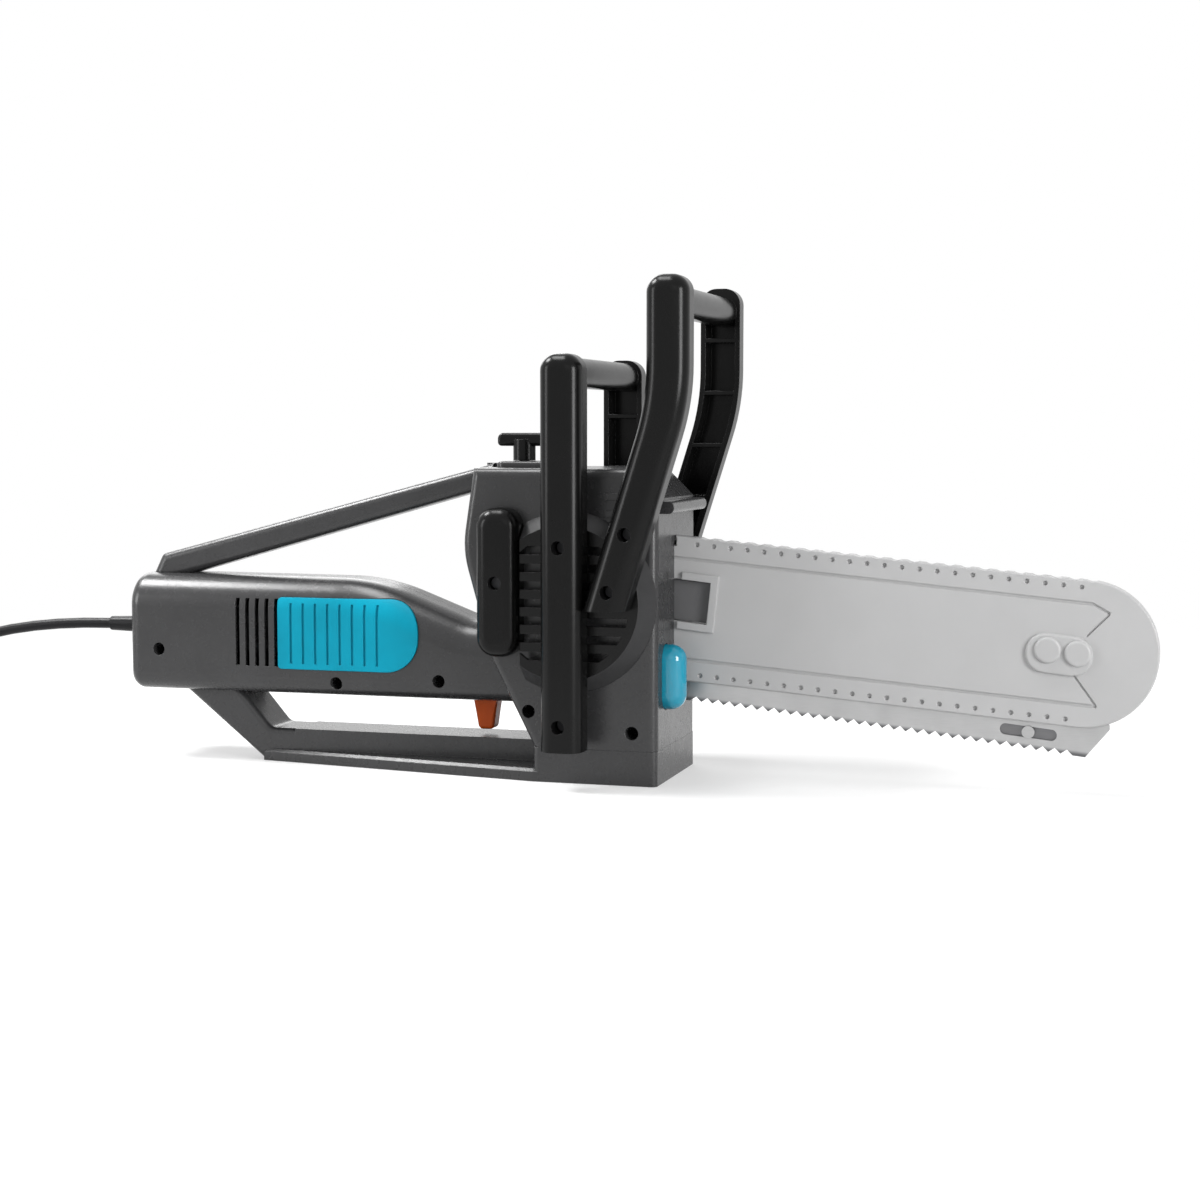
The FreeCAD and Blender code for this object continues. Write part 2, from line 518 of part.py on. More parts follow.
ORIGIN_PLANES = {"XY": "XY_Plane", "XZ": "XZ_Plane", "YZ": "YZ_Plane"}
ORIGIN_AXES = {"X": "X_Axis", "Y": "Y_Axis", "Z": "Z_Axis"}
nodes = {}


def bind(item, path, dim):
    """Drive one property from the sheet."""
    dim = dim if isinstance(dim, Dim) else Dim(dim)
    item.setExpression(path, dim.text)


def put(item, x=0, y=0, z=0, turn=None, angle=0):
    """Place an item, each coordinate driven from the sheet."""
    rotation = FreeCAD.Rotation(turn or FreeCAD.Vector(0, 0, 1), float(angle))
    item.Placement = FreeCAD.Placement(FreeCAD.Vector(x, y, z), rotation)
    for axis, dim in zip("xyz", (x, y, z)):
        bind(item, "Placement.Base." + axis, dim)
    if isinstance(angle, Dim):
        bind(item, "Placement.Rotation.Angle", angle)
    return item


Y_AXIS = FreeCAD.Vector(0, 1, 0)
X_AXIS = FreeCAD.Vector(1, 0, 0)
Z_AXIS = FreeCAD.Vector(0, 0, 1)


def box(name, x, y, z):
    """Box from (low, high) pairs."""
    item = doc.addObject("Part::Box", name)
    for prop, pair in zip(("Length", "Width", "Height"), (x, y, z)):
        span = pair[1] - pair[0]
        span = span if isinstance(span, Dim) else Dim(span)
        setattr(item, prop, float(span))
        bind(item, prop, span)
    return put(item, x[0], y[0], z[0])


def rod(name, axis, radius, start, length, across):
    """Cylinder along an axis; across holds its two other coordinates in axis order."""
    item = doc.addObject("Part::Cylinder", name)
    item.Radius = float(radius)
    item.Height = float(length)
    bind(item, "Radius", radius)
    bind(item, "Height", length)
    if axis == "X":
        return put(item, start, across[0], across[1], Y_AXIS, 90)
    if axis == "Y":
        return put(item, across[0], start, across[1], X_AXIS, -90)
    return put(item, across[0], across[1], start)


def cone(name, axis, radius, end_radius, start, length, across):
    item = doc.addObject("Part::Cone", name)
    item.Radius1 = float(radius)
    item.Radius2 = float(end_radius)
    item.Height = float(length)
    bind(item, "Radius1", radius)
    bind(item, "Radius2", end_radius)
    bind(item, "Height", length)
    if axis == "X":
        return put(item, start, across[0], across[1], Y_AXIS, 90)
    return put(item, across[0], start, across[1], X_AXIS, -90)


def fuse(name, items):
    item = doc.addObject("Part::MultiFuse", name)
    item.Shapes = items
    item.Refine = True
    return item


def cut(name, base, tool):
    item = doc.addObject("Part::Cut", name)
    item.Base = base
    item.Tool = tool
    return item


def common(name, items):
    item = doc.addObject("Part::MultiCommon", name)
    item.Shapes = items
    return item


def mirror(name, source):
    """Mirror image on the other side of the middle plane."""
    item = doc.addObject("Part::Mirroring", name)
    item.Source = source
    item.Normal = Y_AXIS
    return item


def compound(name, items):
    item = doc.addObject("Part::Compound", name)
    item.Links = items
    return item


def blade_line(item):
    """Place an item on the tilted blade line through the drive gear."""
    return put(item, gear_x, 0, gear_level, Y_AXIS, blade_tilt)


def node(name, item):
    """Keep an item as a sub-part of the assembly."""
    item.Label = name
    nodes[name] = item
    return item


def body_of(name):
    return doc.addObject("PartDesign::Body", name)


def origin_item(body, role):
    return [part for part in body.Origin.OriginFeatures if part.Role == role][0]


def add_sketch(body, name, plane, offset=0):
    sketch = body.newObject("Sketcher::SketchObject", name)
    sketch.AttachmentSupport = [(origin_item(body, ORIGIN_PLANES[plane]), "")]
    sketch.MapMode = "FlatFace"
    if isinstance(offset, Dim) or offset:
        sketch.AttachmentOffset = FreeCAD.Placement(FreeCAD.Vector(0, 0, offset), FreeCAD.Rotation())
        bind(sketch, "AttachmentOffset.Base.z", offset)
    return sketch


def fix_point(sketch, geometry, position, corner):
    """Hold one sketch point at sheet-driven coordinates."""
    for kind, dim in zip(("DistanceX", "DistanceY"), corner):
        dim = dim if isinstance(dim, Dim) else Dim(dim)
        place = sketch.addConstraint(
            Sketcher.Constraint(kind, -1, 1, geometry, position, float(dim))
        )
        sketch.setExpression("Constraints[{}]".format(place), dim.text)


def outline(sketch, corners):
    """Closed outline of straight sides; a third value rounds that corner."""
    count = len(corners)
    flat = [FreeCAD.Vector(corner[0], corner[1], 0) for corner in corners]
    starts = []
    ends = []
    arcs = {}
    for place, corner in enumerate(corners):
        spot = flat[place]
        if len(corner) < 3:
            starts.append(spot)
            ends.append(spot)
            continue
        back = (flat[place - 1] - spot).normalize()
        ahead = (flat[(place + 1) % count] - spot).normalize()
        half = back.getAngle(ahead) / 2
        reach = float(corner[2]) / math.tan(half)
        centre = spot + (back + ahead).normalize() * (float(corner[2]) / math.sin(half))
        ends.append(spot + back * reach)
        starts.append(spot + ahead * reach)
        arcs[place] = (centre, ends[place], starts[place])
    lines = []
    for place in range(count):
        after = (place + 1) % count
        lines.append(sketch.addGeometry(Part.LineSegment(starts[place], ends[after]), False))
    for place, corner in enumerate(corners):
        before = lines[place - 1]
        after = lines[place]
        if place not in arcs:
            sketch.addConstraint(Sketcher.Constraint("Coincident", before, 2, after, 1))
            fix_point(sketch, after, 1, corner)
            continue
        centre, first, last = arcs[place]
        start_angle = math.atan2(first.y - centre.y, first.x - centre.x)
        end_angle = math.atan2(last.y - centre.y, last.x - centre.x)
        sweep = (end_angle - start_angle) % (2 * math.pi)
        forward = sweep < math.pi
        circle = Part.Circle(centre, Z_AXIS, float(corner[2]))
        low, high = (start_angle, end_angle) if forward else (end_angle, start_angle)
        arc = sketch.addGeometry(Part.ArcOfCircle(circle, low, high), False)
        enter, leave = (1, 2) if forward else (2, 1)
        sketch.addConstraint(Sketcher.Constraint("Tangent", before, 2, arc, enter))
        sketch.addConstraint(Sketcher.Constraint("Tangent", after, 1, arc, leave))
        bend = sketch.addConstraint(Sketcher.Constraint("Radius", arc, float(corner[2])))
        radius = corner[2] if isinstance(corner[2], Dim) else Dim(corner[2])
        sketch.setExpression("Constraints[{}]".format(bend), radius.text)
        point = sketch.addGeometry(Part.Point(flat[place]), True)
        fix_point(sketch, point, 1, corner)
        sketch.addConstraint(Sketcher.Constraint("PointOnObject", point, 1, before))
        sketch.addConstraint(Sketcher.Constraint("PointOnObject", point, 1, after))


def ring(sketch, centre, radius):
    """Circle in a sketch."""
    circle = Part.Circle(FreeCAD.Vector(centre[0], centre[1], 0), Z_AXIS, float(radius))
    place = sketch.addGeometry(circle, False)
    fix_point(sketch, place, 3, centre)
    held = sketch.addConstraint(Sketcher.Constraint("Radius", place, float(radius)))
    radius = radius if isinstance(radius, Dim) else Dim(radius)
    sketch.setExpression("Constraints[{}]".format(held), radius.text)


def pad(body, name, sketch, length, kind="PartDesign::Pad"):
    item = body.newObject(kind, name)
    item.Profile = sketch
    length = length if isinstance(length, Dim) else Dim(length)
    item.Length = float(length)
    bind(item, "Length", length)
    sketch.Visibility = False
    body.Tip = item
    doc.recompute()
    return item


def plate(name, corners, low, high, plane="XZ"):
    """Body padded from a side outline, between two planes of the third axis."""
    body = body_of(name)
    start = -high if plane == "XZ" else low
    sketch = add_sketch(body, name + "_outline", plane, start)
    outline(sketch, corners)
    pad(body, name + "_pad", sketch, high - low)
    return body


def soften(body, name, radius, chosen, kind="PartDesign::Fillet"):
    """Round the edges of the body's tip that the test picks."""
    base = body.Tip
    picked = []
    for place, edge in enumerate(base.Shape.Edges):
        if chosen(edge):
            picked.append("Edge{}".format(place + 1))
    item = body.newObject(kind, name)
    item.Base = (base, picked)
    prop = "Radius" if kind == "PartDesign::Fillet" else "Size"
    setattr(item, prop, float(radius))
    bind(item, prop, radius)
    body.Tip = item
    doc.recompute()
    return item


def near(value, target, slack=0.05):
    return abs(value - float(target)) < slack


def edge_lies(edge, axis, target):
    """True where both ends and the middle of an edge lie on a plane square to an axis."""
    box_ = edge.BoundBox
    low = getattr(box_, axis + "Min")
    high = getattr(box_, axis + "Max")
    return near(low, target) and near(high, target)


# Derived places that several sub-parts share.
half_body = body_width / 2
body_side = -half_body
handle_rear_x = front_x - body_length - handle_length
handle_top = handle_bottom + handle_height
bulge_x = front_x - body_length
top_rear_x = front_x - body_top_length
toe_x = front_x - body_toe_length
heel_x = bulge_x + heel_inset
gear_pitch_radius = tooth_module * gear_teeth / 2
gear_level = motor_level - worm_pitch_radius - gear_pitch_radius
bar_half = bar_thick / 2
hoop_inner = hoop_outer - hoop_depth
# Shares of an inset that the 45 degree front slope and the slanted heel take.
FRONT_MITRE = math.tan(math.radians(22.5))
HEEL_MITRE = 1.1


def handle_outline(inset, rear_inset):
    """Side outline of the handle, as (along, up) corners."""
    floor = handle_bottom + inset
    top = handle_top - inset
    return [
        (handle_rear_x + rear_inset, floor),
        (root_x, floor),
        (root_x, top - root_drop),
        (neck_x, top - neck_drop, neck_round),
        (brow_x, top - brow_drop, brow_round),
        (handle_rear_x + rear_inset, top),
    ]


def handle_form(name, inset, rear_inset):
    """Handle, grown or shrunk by an inset."""
    half = handle_width / 2 - inset
    middle = float(handle_bottom + handle_height / 3)
    body = plate(name, handle_outline(inset, rear_inset), -half, half)

    def on_side(edge):
        return edge_lies(edge, "Y", half) or edge_lies(edge, "Y", -half)

    def on_top(edge):
        return on_side(edge) and edge.BoundBox.XLength > 1 and edge.CenterOfMass.z > middle

    def on_floor(edge):
        return on_side(edge) and edge.BoundBox.XLength > 1 and edge.CenterOfMass.z < middle

    soften(body, name + "_shoulder", shoulder_round - inset, on_top)
    soften(body, name + "_keel", keel_round - inset, on_floor)
    rear = handle_rear_x + rear_inset
    soften(body, name + "_end", handle_end_round - inset, lambda edge: edge_lies(edge, "X", rear))
    return body


def near_half(item):
    """The part of an item on the near side of the middle plane."""
    space = box(
        item.Name + "_near_space",
        (handle_rear_x * 2, -handle_rear_x),
        (-handle_width * 2, Dim(0)),
        (-handle_height, handle_height * 4),
    )
    return common(item.Name + "_near", [item, space])


def body_outline(inset):
    """Side outline of the body, as (along, up) corners."""
    return [
        (front_x - inset, sled_height + inset),
        (front_x - inset, body_top - body_front_slope - inset * FRONT_MITRE),
        (front_x - body_front_slope - inset * FRONT_MITRE, body_top - inset),
        (top_rear_x + inset, body_top - inset),
        (bulge_x + inset, bulge_level, bulge_round - inset),
        (heel_x + inset * HEEL_MITRE, heel_level, heel_round - inset),
        (toe_x + inset * HEEL_MITRE, sled_height + inset),
    ]


def row(name, count, start, pitch, make):
    """Items spaced along a line, each made at its own place."""
    return [make("{}_{}".format(name, place), start + pitch * place) for place in range(int(count))]


def corners_of(along, up, rounding):
    """Corners of a rounded rectangle, from (low, high) pairs."""
    return [
        (along[0], up[0], rounding),
        (along[1], up[0], rounding),
        (along[1], up[1], rounding),
        (along[0], up[1], rounding),
    ]


ALL_ACROSS = (-hoop_outer * 2, hoop_outer * 2)


# Housing: near half first, then its mirror image.
handle_skin = handle_form("handle_skin", Dim(0), Dim(0))
handle_hollow = handle_form("handle_hollow", shell_wall, shell_wall)
body_skin = plate("body_skin", body_outline(Dim(0)), body_side, Dim(0))


def on_body_side(edge):
    return edge_lies(edge, "Y", body_side) and edge.CenterOfMass.z > float(sled_height) + 0.5


soften(body_skin, "body_side_rounding", body_round, on_body_side)
body_hollow = plate("body_hollow", body_outline(shell_wall), body_side + shell_wall, Dim(0))
skin = fuse("housing_skin", [near_half(handle_skin), body_skin])
hollow = fuse("housing_hollow", [near_half(handle_hollow), body_hollow])
bare_shell = cut("housing_bare_shell", skin, hollow)

hood = plate(
    "front_hood",
    [
        (front_x - shell_wall / 2, hood_level),
        (front_x + hood_reach, hood_level, hood_edge),
        (front_x + hood_reach, hood_level + hood_height, hood_edge),
        (front_x - shell_wall / 2, hood_level + hood_height),
    ],
    -hood_width / 2,
    Dim(0),
)

guard_lean = (guard_x - guard_bottom_x) / (guard_bend_level - guard_bottom)
HOOP_SCREWS = [
    ("wrap_high", wrap_x, wrap_screw_high),
    ("wrap_low", wrap_x, wrap_screw_low),
    ("guard_high", guard_bottom_x + guard_lean * (guard_screw_high - guard_bottom), guard_screw_high),
    ("guard_low", guard_bottom_x + guard_lean * (guard_screw_low - guard_bottom), guard_screw_low),
]
SHELL_SCREWS = [
    ("rear", rear_screw_x, rear_screw_level),
    ("middle", middle_screw_x, middle_screw_level),
    ("neck", neck_screw_x, neck_screw_level),
    ("heel", heel_screw_x, heel_screw_level),
    ("toe", toe_screw_x, toe_screw_level),
    ("front_top", front_screw_x, front_screw_level),
    ("top", top_screw_x, top_screw_level),
]
driver_outer = gear_width / 2 + driver_gap + driver_thick
guide_outer = driver_outer + guide_gap + guide_wall
axle_boss_face = driver_outer + boss_gap

posts = []
for label, x, z in HOOP_SCREWS:
    posts.append(
        rod("post_" + label, "Y", post_radius, -hoop_inner, hoop_inner - half_body + shell_wall, (x, z))
    )
side_ribs = []
for label, level in (("low", side_rib_low), ("high", side_rib_high)):
    side_ribs.append(
        box(
            "side_rib_" + label,
            (side_rib_rear_x, side_rib_front_x),
            (body_side - side_rib_proud, body_side + shell_wall / 2),
            (level, level + side_rib_width),
        )
    )

inner_ribs = [
    rod("axle_boss", "Y", axle_boss_radius, body_side, half_body - axle_boss_face, (gear_x, gear_level)),
    box(
        "nose_saddle",
        (saddle_rear_x, saddle_rear_x + saddle_length),
        (body_side, Dim(0)),
        (motor_level - bush_radius - seat_thick / 2, motor_level + bush_radius + seat_thick),
    ),
    box(
        "guide_rib",
        (saddle_rear_x + saddle_length, spring_seat_x + seat_thick * 4),
        (body_side, -guide_outer),
        (gear_level - guide_rib_depth, gear_level - seat_thick),
    ),
    box(
        "bar_clamp",
        (front_x - shell_wall * 3, front_x - shell_wall / 2),
        (body_side, -bar_half),
        (gear_level + tongue_low * 2 - bar_half, gear_level + tongue_high - bar_half * 2),
    ),
    box(
        "switch_rib",
        (switch_rear_x + seat_thick, switch_rear_x + seat_thick * 3),
        (body_side, -switch_width / 2),
        (switch_low, switch_high),
    ),
    rod(
        "trigger_boss",
        "Y",
        trigger_boss,
        body_side,
        half_body - trigger_width / 2 - trigger_gap,
        (trigger_x, trigger_level),
    ),
    box(
        "trigger_spring_rib",
        (spring_wall_x - seat_thick, spring_wall_x),
        (body_side, Dim(0)),
        (handle_bottom, trigger_spring_level + trigger_spring_radius * 2),
    ),
    box(
        "lead_clamp",
        (handle_rear_x + lead_length / 2, handle_rear_x + lead_length / 2 + lead_clamp_length),
        (body_side, Dim(0)),
        (cord_level - relief_flange, cord_level + relief_flange),
    ),
]
for label, x, z in SHELL_SCREWS:
    inner_ribs.append(rod("boss_" + label, "Y", boss_radius, body_side, half_body, (x, z)))
BASE_SCREWS = [
    (
        "body",
        block_screw_x,
        block_screw_offset,
        sled_height - base_screw_seat,
        sled_height + block_boss_height,
    ),
    (
        "handle",
        strut_screw_x,
        strut_screw_offset,
        handle_bottom - base_screw_seat,
        handle_bottom + strut_boss_height,
    ),
]
for label, x, y, seat, top in BASE_SCREWS:
    inner_ribs.append(rod("base_boss_" + label, "Z", boss_radius, seat, top - seat, (x, -y)))
ribs = common("housing_ribs", [skin, fuse("housing_rib_stock", inner_ribs)])
filled_shell = fuse("housing_filled_shell", [bare_shell, ribs, hood] + posts + side_ribs)

grip_outline = [
    (grip_rear_x, grip_low, grip_corner),
    (grip_front_x, grip_low, grip_nose_round),
    (grip_front_x, grip_high, grip_nose_round),
    (grip_rear_x, grip_high, grip_corner),
]
grip_prism = plate("grip_prism", grip_outline, -handle_width, -side_reach)
grip_floor = handle_form("grip_floor", grip_sunk, grip_sunk)
grip_recess = cut("grip_recess", grip_prism, grip_floor)

openings = [grip_recess]
openings += row(
    "vent",
    vent_count,
    vent_first_x,
    vent_pitch,
    lambda label, x: box(label, (x, x + vent_width), (-handle_width, -side_reach), (vent_low, vent_high)),
)
openings.append(
    box(
        "blade_slot",
        (front_x - shell_wall - guide_gap, front_x + shell_wall),
        (-bar_half - guide_gap, Dim(1)),
        (gear_level - blade_slot_drop, gear_level + tongue_high - seam_gap * 10),
    )
)
openings.append(
    box(
        "trigger_slot",
        (trigger_root_rear - trigger_swing, trigger_root_front + trigger_lean + trigger_gap),
        (-trigger_width / 2 - trigger_gap, Dim(1)),
        (handle_bottom - 1, handle_bottom + shell_wall + seam_gap),
    )
)
openings += [
    rod(
        "nose_bore",
        "X",
        bush_radius + seam_gap / 2,
        saddle_rear_x - 1,
        saddle_length + 2,
        (0, motor_level),
    ),
    rod(
        "axle_bore",
        "Y",
        axle_radius + seam_gap / 2,
        -axle_boss_face - axle_seat,
        axle_seat + 1,
        (gear_x, gear_level),
    ),
    rod(
        "trigger_pin_bore",
        "Y",
        trigger_pin_radius + seam_gap / 2,
        -trigger_width,
        trigger_width,
        (trigger_x, trigger_level),
    ),
    rod("cord_bore", "X", relief_radius + seam_gap, handle_rear_x - 1, shell_wall + 2, (0, cord_level)),
    rod("lead_bore", "X", cord_radius + seam_gap, handle_rear_x + shell_wall, lead_length, (0, cord_level)),
    rod(
        "knob_bore",
        "Z",
        knob_spindle_radius + turn_gap,
        body_top - shell_wall - 1,
        shell_wall + 2,
        (knob_x, 0),
    ),
]
brace_tongue_half = brace_tongue_width / 2


def brace_end_x(level):
    """Where the body's rear face lies at a height."""
    share = (body_top - level) / (body_top - bulge_level)
    return top_rear_x + share * (bulge_x - top_rear_x)


brace_top_front = body_top + brace_rise
brace_bottom_front = body_top - brace_drop
brace_tongue_low = brace_bottom_front + brace_round / 2
brace_tongue_high = body_top - brace_tongue_drop
FOOT_TONGUE = (brace_foot_rear_x + brace_round * 2, brace_foot_front_x - brace_round * 2)
openings.append(
    box(
        "brace_socket",
        (brace_end_x(brace_bottom_front), top_rear_x + shell_wall * 2),
        (-brace_tongue_half - seam_gap, Dim(1)),
        (brace_tongue_low - seam_gap, brace_tongue_high + seam_gap),
    )
)
openings.append(
    box(
        "foot_socket",
        (FOOT_TONGUE[0] - seam_gap, FOOT_TONGUE[1] + seam_gap),
        (-brace_tongue_half - seam_gap, Dim(1)),
        (handle_top - shell_wall - 1, handle_top + 1),
    )
)
for label, x, z in HOOP_SCREWS:
    openings.append(
        rod("post_bore_" + label, "Y", screw_hole, -hoop_inner - 1, hoop_screw_grip + 3, (x, z))
    )
for label, x, y, seat, top in BASE_SCREWS:
    openings.append(rod("base_bore_" + label, "Z", screw_hole, seat, top - seat - 1, (x, -y)))
common_half = cut("housing_half", filled_shell, fuse("housing_openings", openings))

near_tools = []
for label, x, z in SHELL_SCREWS:
    near_tools.append(
        rod("sink_" + label, "Y", screw_sink, body_side - 1, half_body + 1 - screw_seat, (x, z))
    )
    near_tools.append(rod("bore_" + label, "Y", screw_hole, -screw_seat - 1, screw_seat + 2, (x, z)))
pull_x = (pull_rear_x + pull_front_x) / 2
pull_level = (pull_low + pull_high) / 2
near_tools.append(rod("pull_bore", "Y", screw_hole, body_side - 1, shell_wall + 2, (pull_x, pull_level)))


def button_outline(grow):
    half = button_width / 2 + grow
    tall = button_height / 2 + grow
    rounding = half - 0.05
    low = button_level - tall
    high = button_level + tall
    return [
        (-button_offset - half, low, rounding),
        (-button_offset + half, low, rounding),
        (-button_offset + half, high, rounding),
        (-button_offset - half, high, rounding),
    ]


near_tools.append(
    plate("button_bore", button_outline(button_gap), front_x - shell_wall * 2, front_x + shell_wall, "YZ")
)
spring_seat_reach = button_spring_radius + button_spring_wire * 4
spring_seat = box(
    "button_spring_seat",
    (spring_seat_x - seat_thick, spring_seat_x),
    (body_side + shell_wall / 2, spring_seat_reach - button_offset),
    (button_level - spring_seat_reach, button_level + spring_seat_reach),
)
seated_half = fuse("housing_seated_half", [common_half, spring_seat])
node("housing_right", cut("housing_right", seated_half, fuse("housing_near_tools", near_tools)))

far_tools = []
for label, x, z in SHELL_SCREWS:
    far_tools.append(rod("pilot_" + label, "Y", screw_hole, Dim(-1), screw_grip + 2, (x, z)))
far_half = mirror("housing_far_half", common_half)
node("housing_left", cut("housing_left", far_half, fuse("housing_far_tools", far_tools)))
doc.recompute()


def screw(name, axis, seat, away, grip, across):
    """Screw whose head rests on a seat; away is the way its head points along the axis."""
    if away > 0:
        shank = rod(name + "_shank", axis, screw_shank, seat - grip, grip, across)
        head = rod(name + "_head", axis, screw_head, seat, screw_head_height, across)
    else:
        shank = rod(name + "_shank", axis, screw_shank, seat, grip, across)
        head = rod(name + "_head", axis, screw_head, seat - screw_head_height, screw_head_height, across)
    return fuse(name, [shank, head])


shell_screws = []
for label, x, z in SHELL_SCREWS:
    shell_screws.append(
        screw("shell_screw_" + label, "Y", -screw_seat, -1, screw_seat + screw_grip, (x, z))
    )
node("housing_screws", compound("housing_screws", shell_screws))

# Grip pads.
grip_inner = handle_form("grip_inner", grip_sunk, grip_sunk)
grip_outer = handle_form("grip_outer", -grip_proud, -grip_proud)
grip_level = handle_form("grip_level", grip_groove_depth - grip_proud, grip_groove_depth - grip_proud)
grip_slim = plate(
    "grip_slim",
    [
        (grip_rear_x + seam_gap, grip_low + seam_gap, grip_corner),
        (grip_front_x - seam_gap, grip_low + seam_gap, grip_nose_round),
        (grip_front_x - seam_gap, grip_high - seam_gap, grip_nose_round),
        (grip_rear_x + seam_gap, grip_high - seam_gap, grip_corner),
    ],
    -handle_width,
    -side_reach,
)
grip_blank = common("grip_blank", [grip_slim, cut("grip_skin", grip_outer, grip_inner)])
grooves = row(
    "grip_groove",
    grip_groove_count,
    grip_rear_x + grip_groove_pitch,
    grip_groove_pitch,
    lambda label, x: box(
        label,
        (x, x + grip_groove_width),
        (-handle_width, -side_reach),
        (grip_low + grip_groove_margin, grip_high - grip_groove_margin),
    ),
)
groove_tool = cut("grip_groove_tool", fuse("grip_grooves", grooves), grip_level)
node("grip_pad_right", cut("grip_pad_right", grip_blank, groove_tool))
node("grip_pad_left", mirror("grip_pad_left", nodes["grip_pad_right"]))

# Base guard: flared bottom plate, beam, block under the body, strut to the handle.
skirt = plate(
    "base_skirt",
    [
        (sled_rear_x, -sled_rear_width / 2),
        (toe_x, -sled_front_width / 2),
        (front_x, -sled_front_width / 2, base_round),
        (front_x, sled_front_width / 2, base_round),
        (toe_x, sled_front_width / 2),
        (sled_rear_x, sled_rear_width / 2),
    ],
    Dim(0),
    sled_plate,
    "XY",
)
soften(
    skirt,
    "base_skirt_edge",
    base_round / 2,
    lambda edge: edge_lies(edge, "Z", sled_plate),
    "PartDesign::Chamfer",
)
beam_rear_x = strut_inner_x + beam_width / 2
beam = box(
    "base_beam",
    (beam_rear_x, toe_x + 1),
    (-beam_width / 2, beam_width / 2),
    (sled_plate / 2, sled_height),
)
block = plate(
    "base_block",
    [
        (toe_x, -sled_front_width / 2, base_round),
        (front_x, -sled_front_width / 2, base_round),
        (front_x, sled_front_width / 2, base_round),
        (toe_x, sled_front_width / 2, base_round),
    ],
    Dim(0),
    sled_height,
    "XY",
)
strut = plate(
    "base_strut",
    [
        (sled_rear_x, Dim(0), base_round),
        (beam_rear_x, Dim(0)),
        (beam_rear_x, sled_height),
        (strut_inner_x, sled_height, base_round * 2),
        (strut_front_x, handle_bottom),
        (strut_rear_x, handle_bottom),
    ],
    -beam_width / 2,
    beam_width / 2,
)


def on_strut_back(edge):
    middle = edge.CenterOfMass
    lengthways = edge.BoundBox.YLength < 1
    return lengthways and middle.x < float(sled_rear_x) + 1 and 1 < middle.z < handle_bottom - 1


soften(strut, "base_strut_edge", base_round, on_strut_back)
base_blank = fuse("base_blank", [skirt, beam, block, strut])
base_tools = []
base_screws = []
for label, x, y, seat, top in BASE_SCREWS:
    for side, across in (("near", -y), ("far", y)):
        name = "base_screw_{}_{}".format(label, side)
        base_tools.append(rod(name + "_sink", "Z", screw_sink, Dim(-1), seat + 1, (x, across)))
        base_tools.append(rod(name + "_bore", "Z", screw_hole, seat - 1, screw_sink * 3, (x, across)))
        base_screws.append(screw(name, "Z", seat, -1, top - seat - 2, (x, across)))
node("base_guard", cut("base_guard", base_blank, fuse("base_tools", base_tools)))
node("base_screws", compound("base_screws", base_screws))

# Top brace.
brace_beam = plate(
    "brace_beam",
    [
        (brace_foot_rear_x, handle_top),
        (brace_foot_front_x, handle_top),
        (brace_end_x(brace_bottom_front), brace_bottom_front),
        (brace_end_x(brace_top_front), brace_top_front),
        (brace_foot_rear_x + brace_foot_height / 2, handle_top + brace_foot_height, brace_round),
    ],
    -brace_width / 2,
    brace_width / 2,
)


def on_brace_side(edge):
    middle = edge.CenterOfMass
    side = edge_lies(edge, "Y", brace_width / 2) or edge_lies(edge, "Y", -brace_width / 2)
    front = float(brace_end_x(brace_bottom_front)) - 3
    return side and middle.z > float(handle_top) + 1 and middle.x < front


soften(brace_beam, "brace_edge", brace_round, on_brace_side)
brace_tongue = box(
    "brace_tongue",
    (brace_end_x(brace_top_front) - brace_round * 2, top_rear_x + shell_wall),
    (-brace_tongue_half, brace_tongue_half),
    (brace_tongue_low, brace_tongue_high),
)
foot_tongue = box(
    "brace_foot_tongue",
    FOOT_TONGUE,
    (-brace_tongue_half, brace_tongue_half),
    (handle_top - shell_wall, handle_top + brace_round / 2),
)
brace_lip = box(
    "brace_lip",
    (top_rear_x - brace_round, cover_rear_x - brace_lip_gap),
    (-brace_tongue_half, brace_tongue_half),
    (body_top, brace_top_front),
)
node("top_brace", fuse("top_brace", [brace_beam, brace_tongue, foot_tongue, brace_lip]))

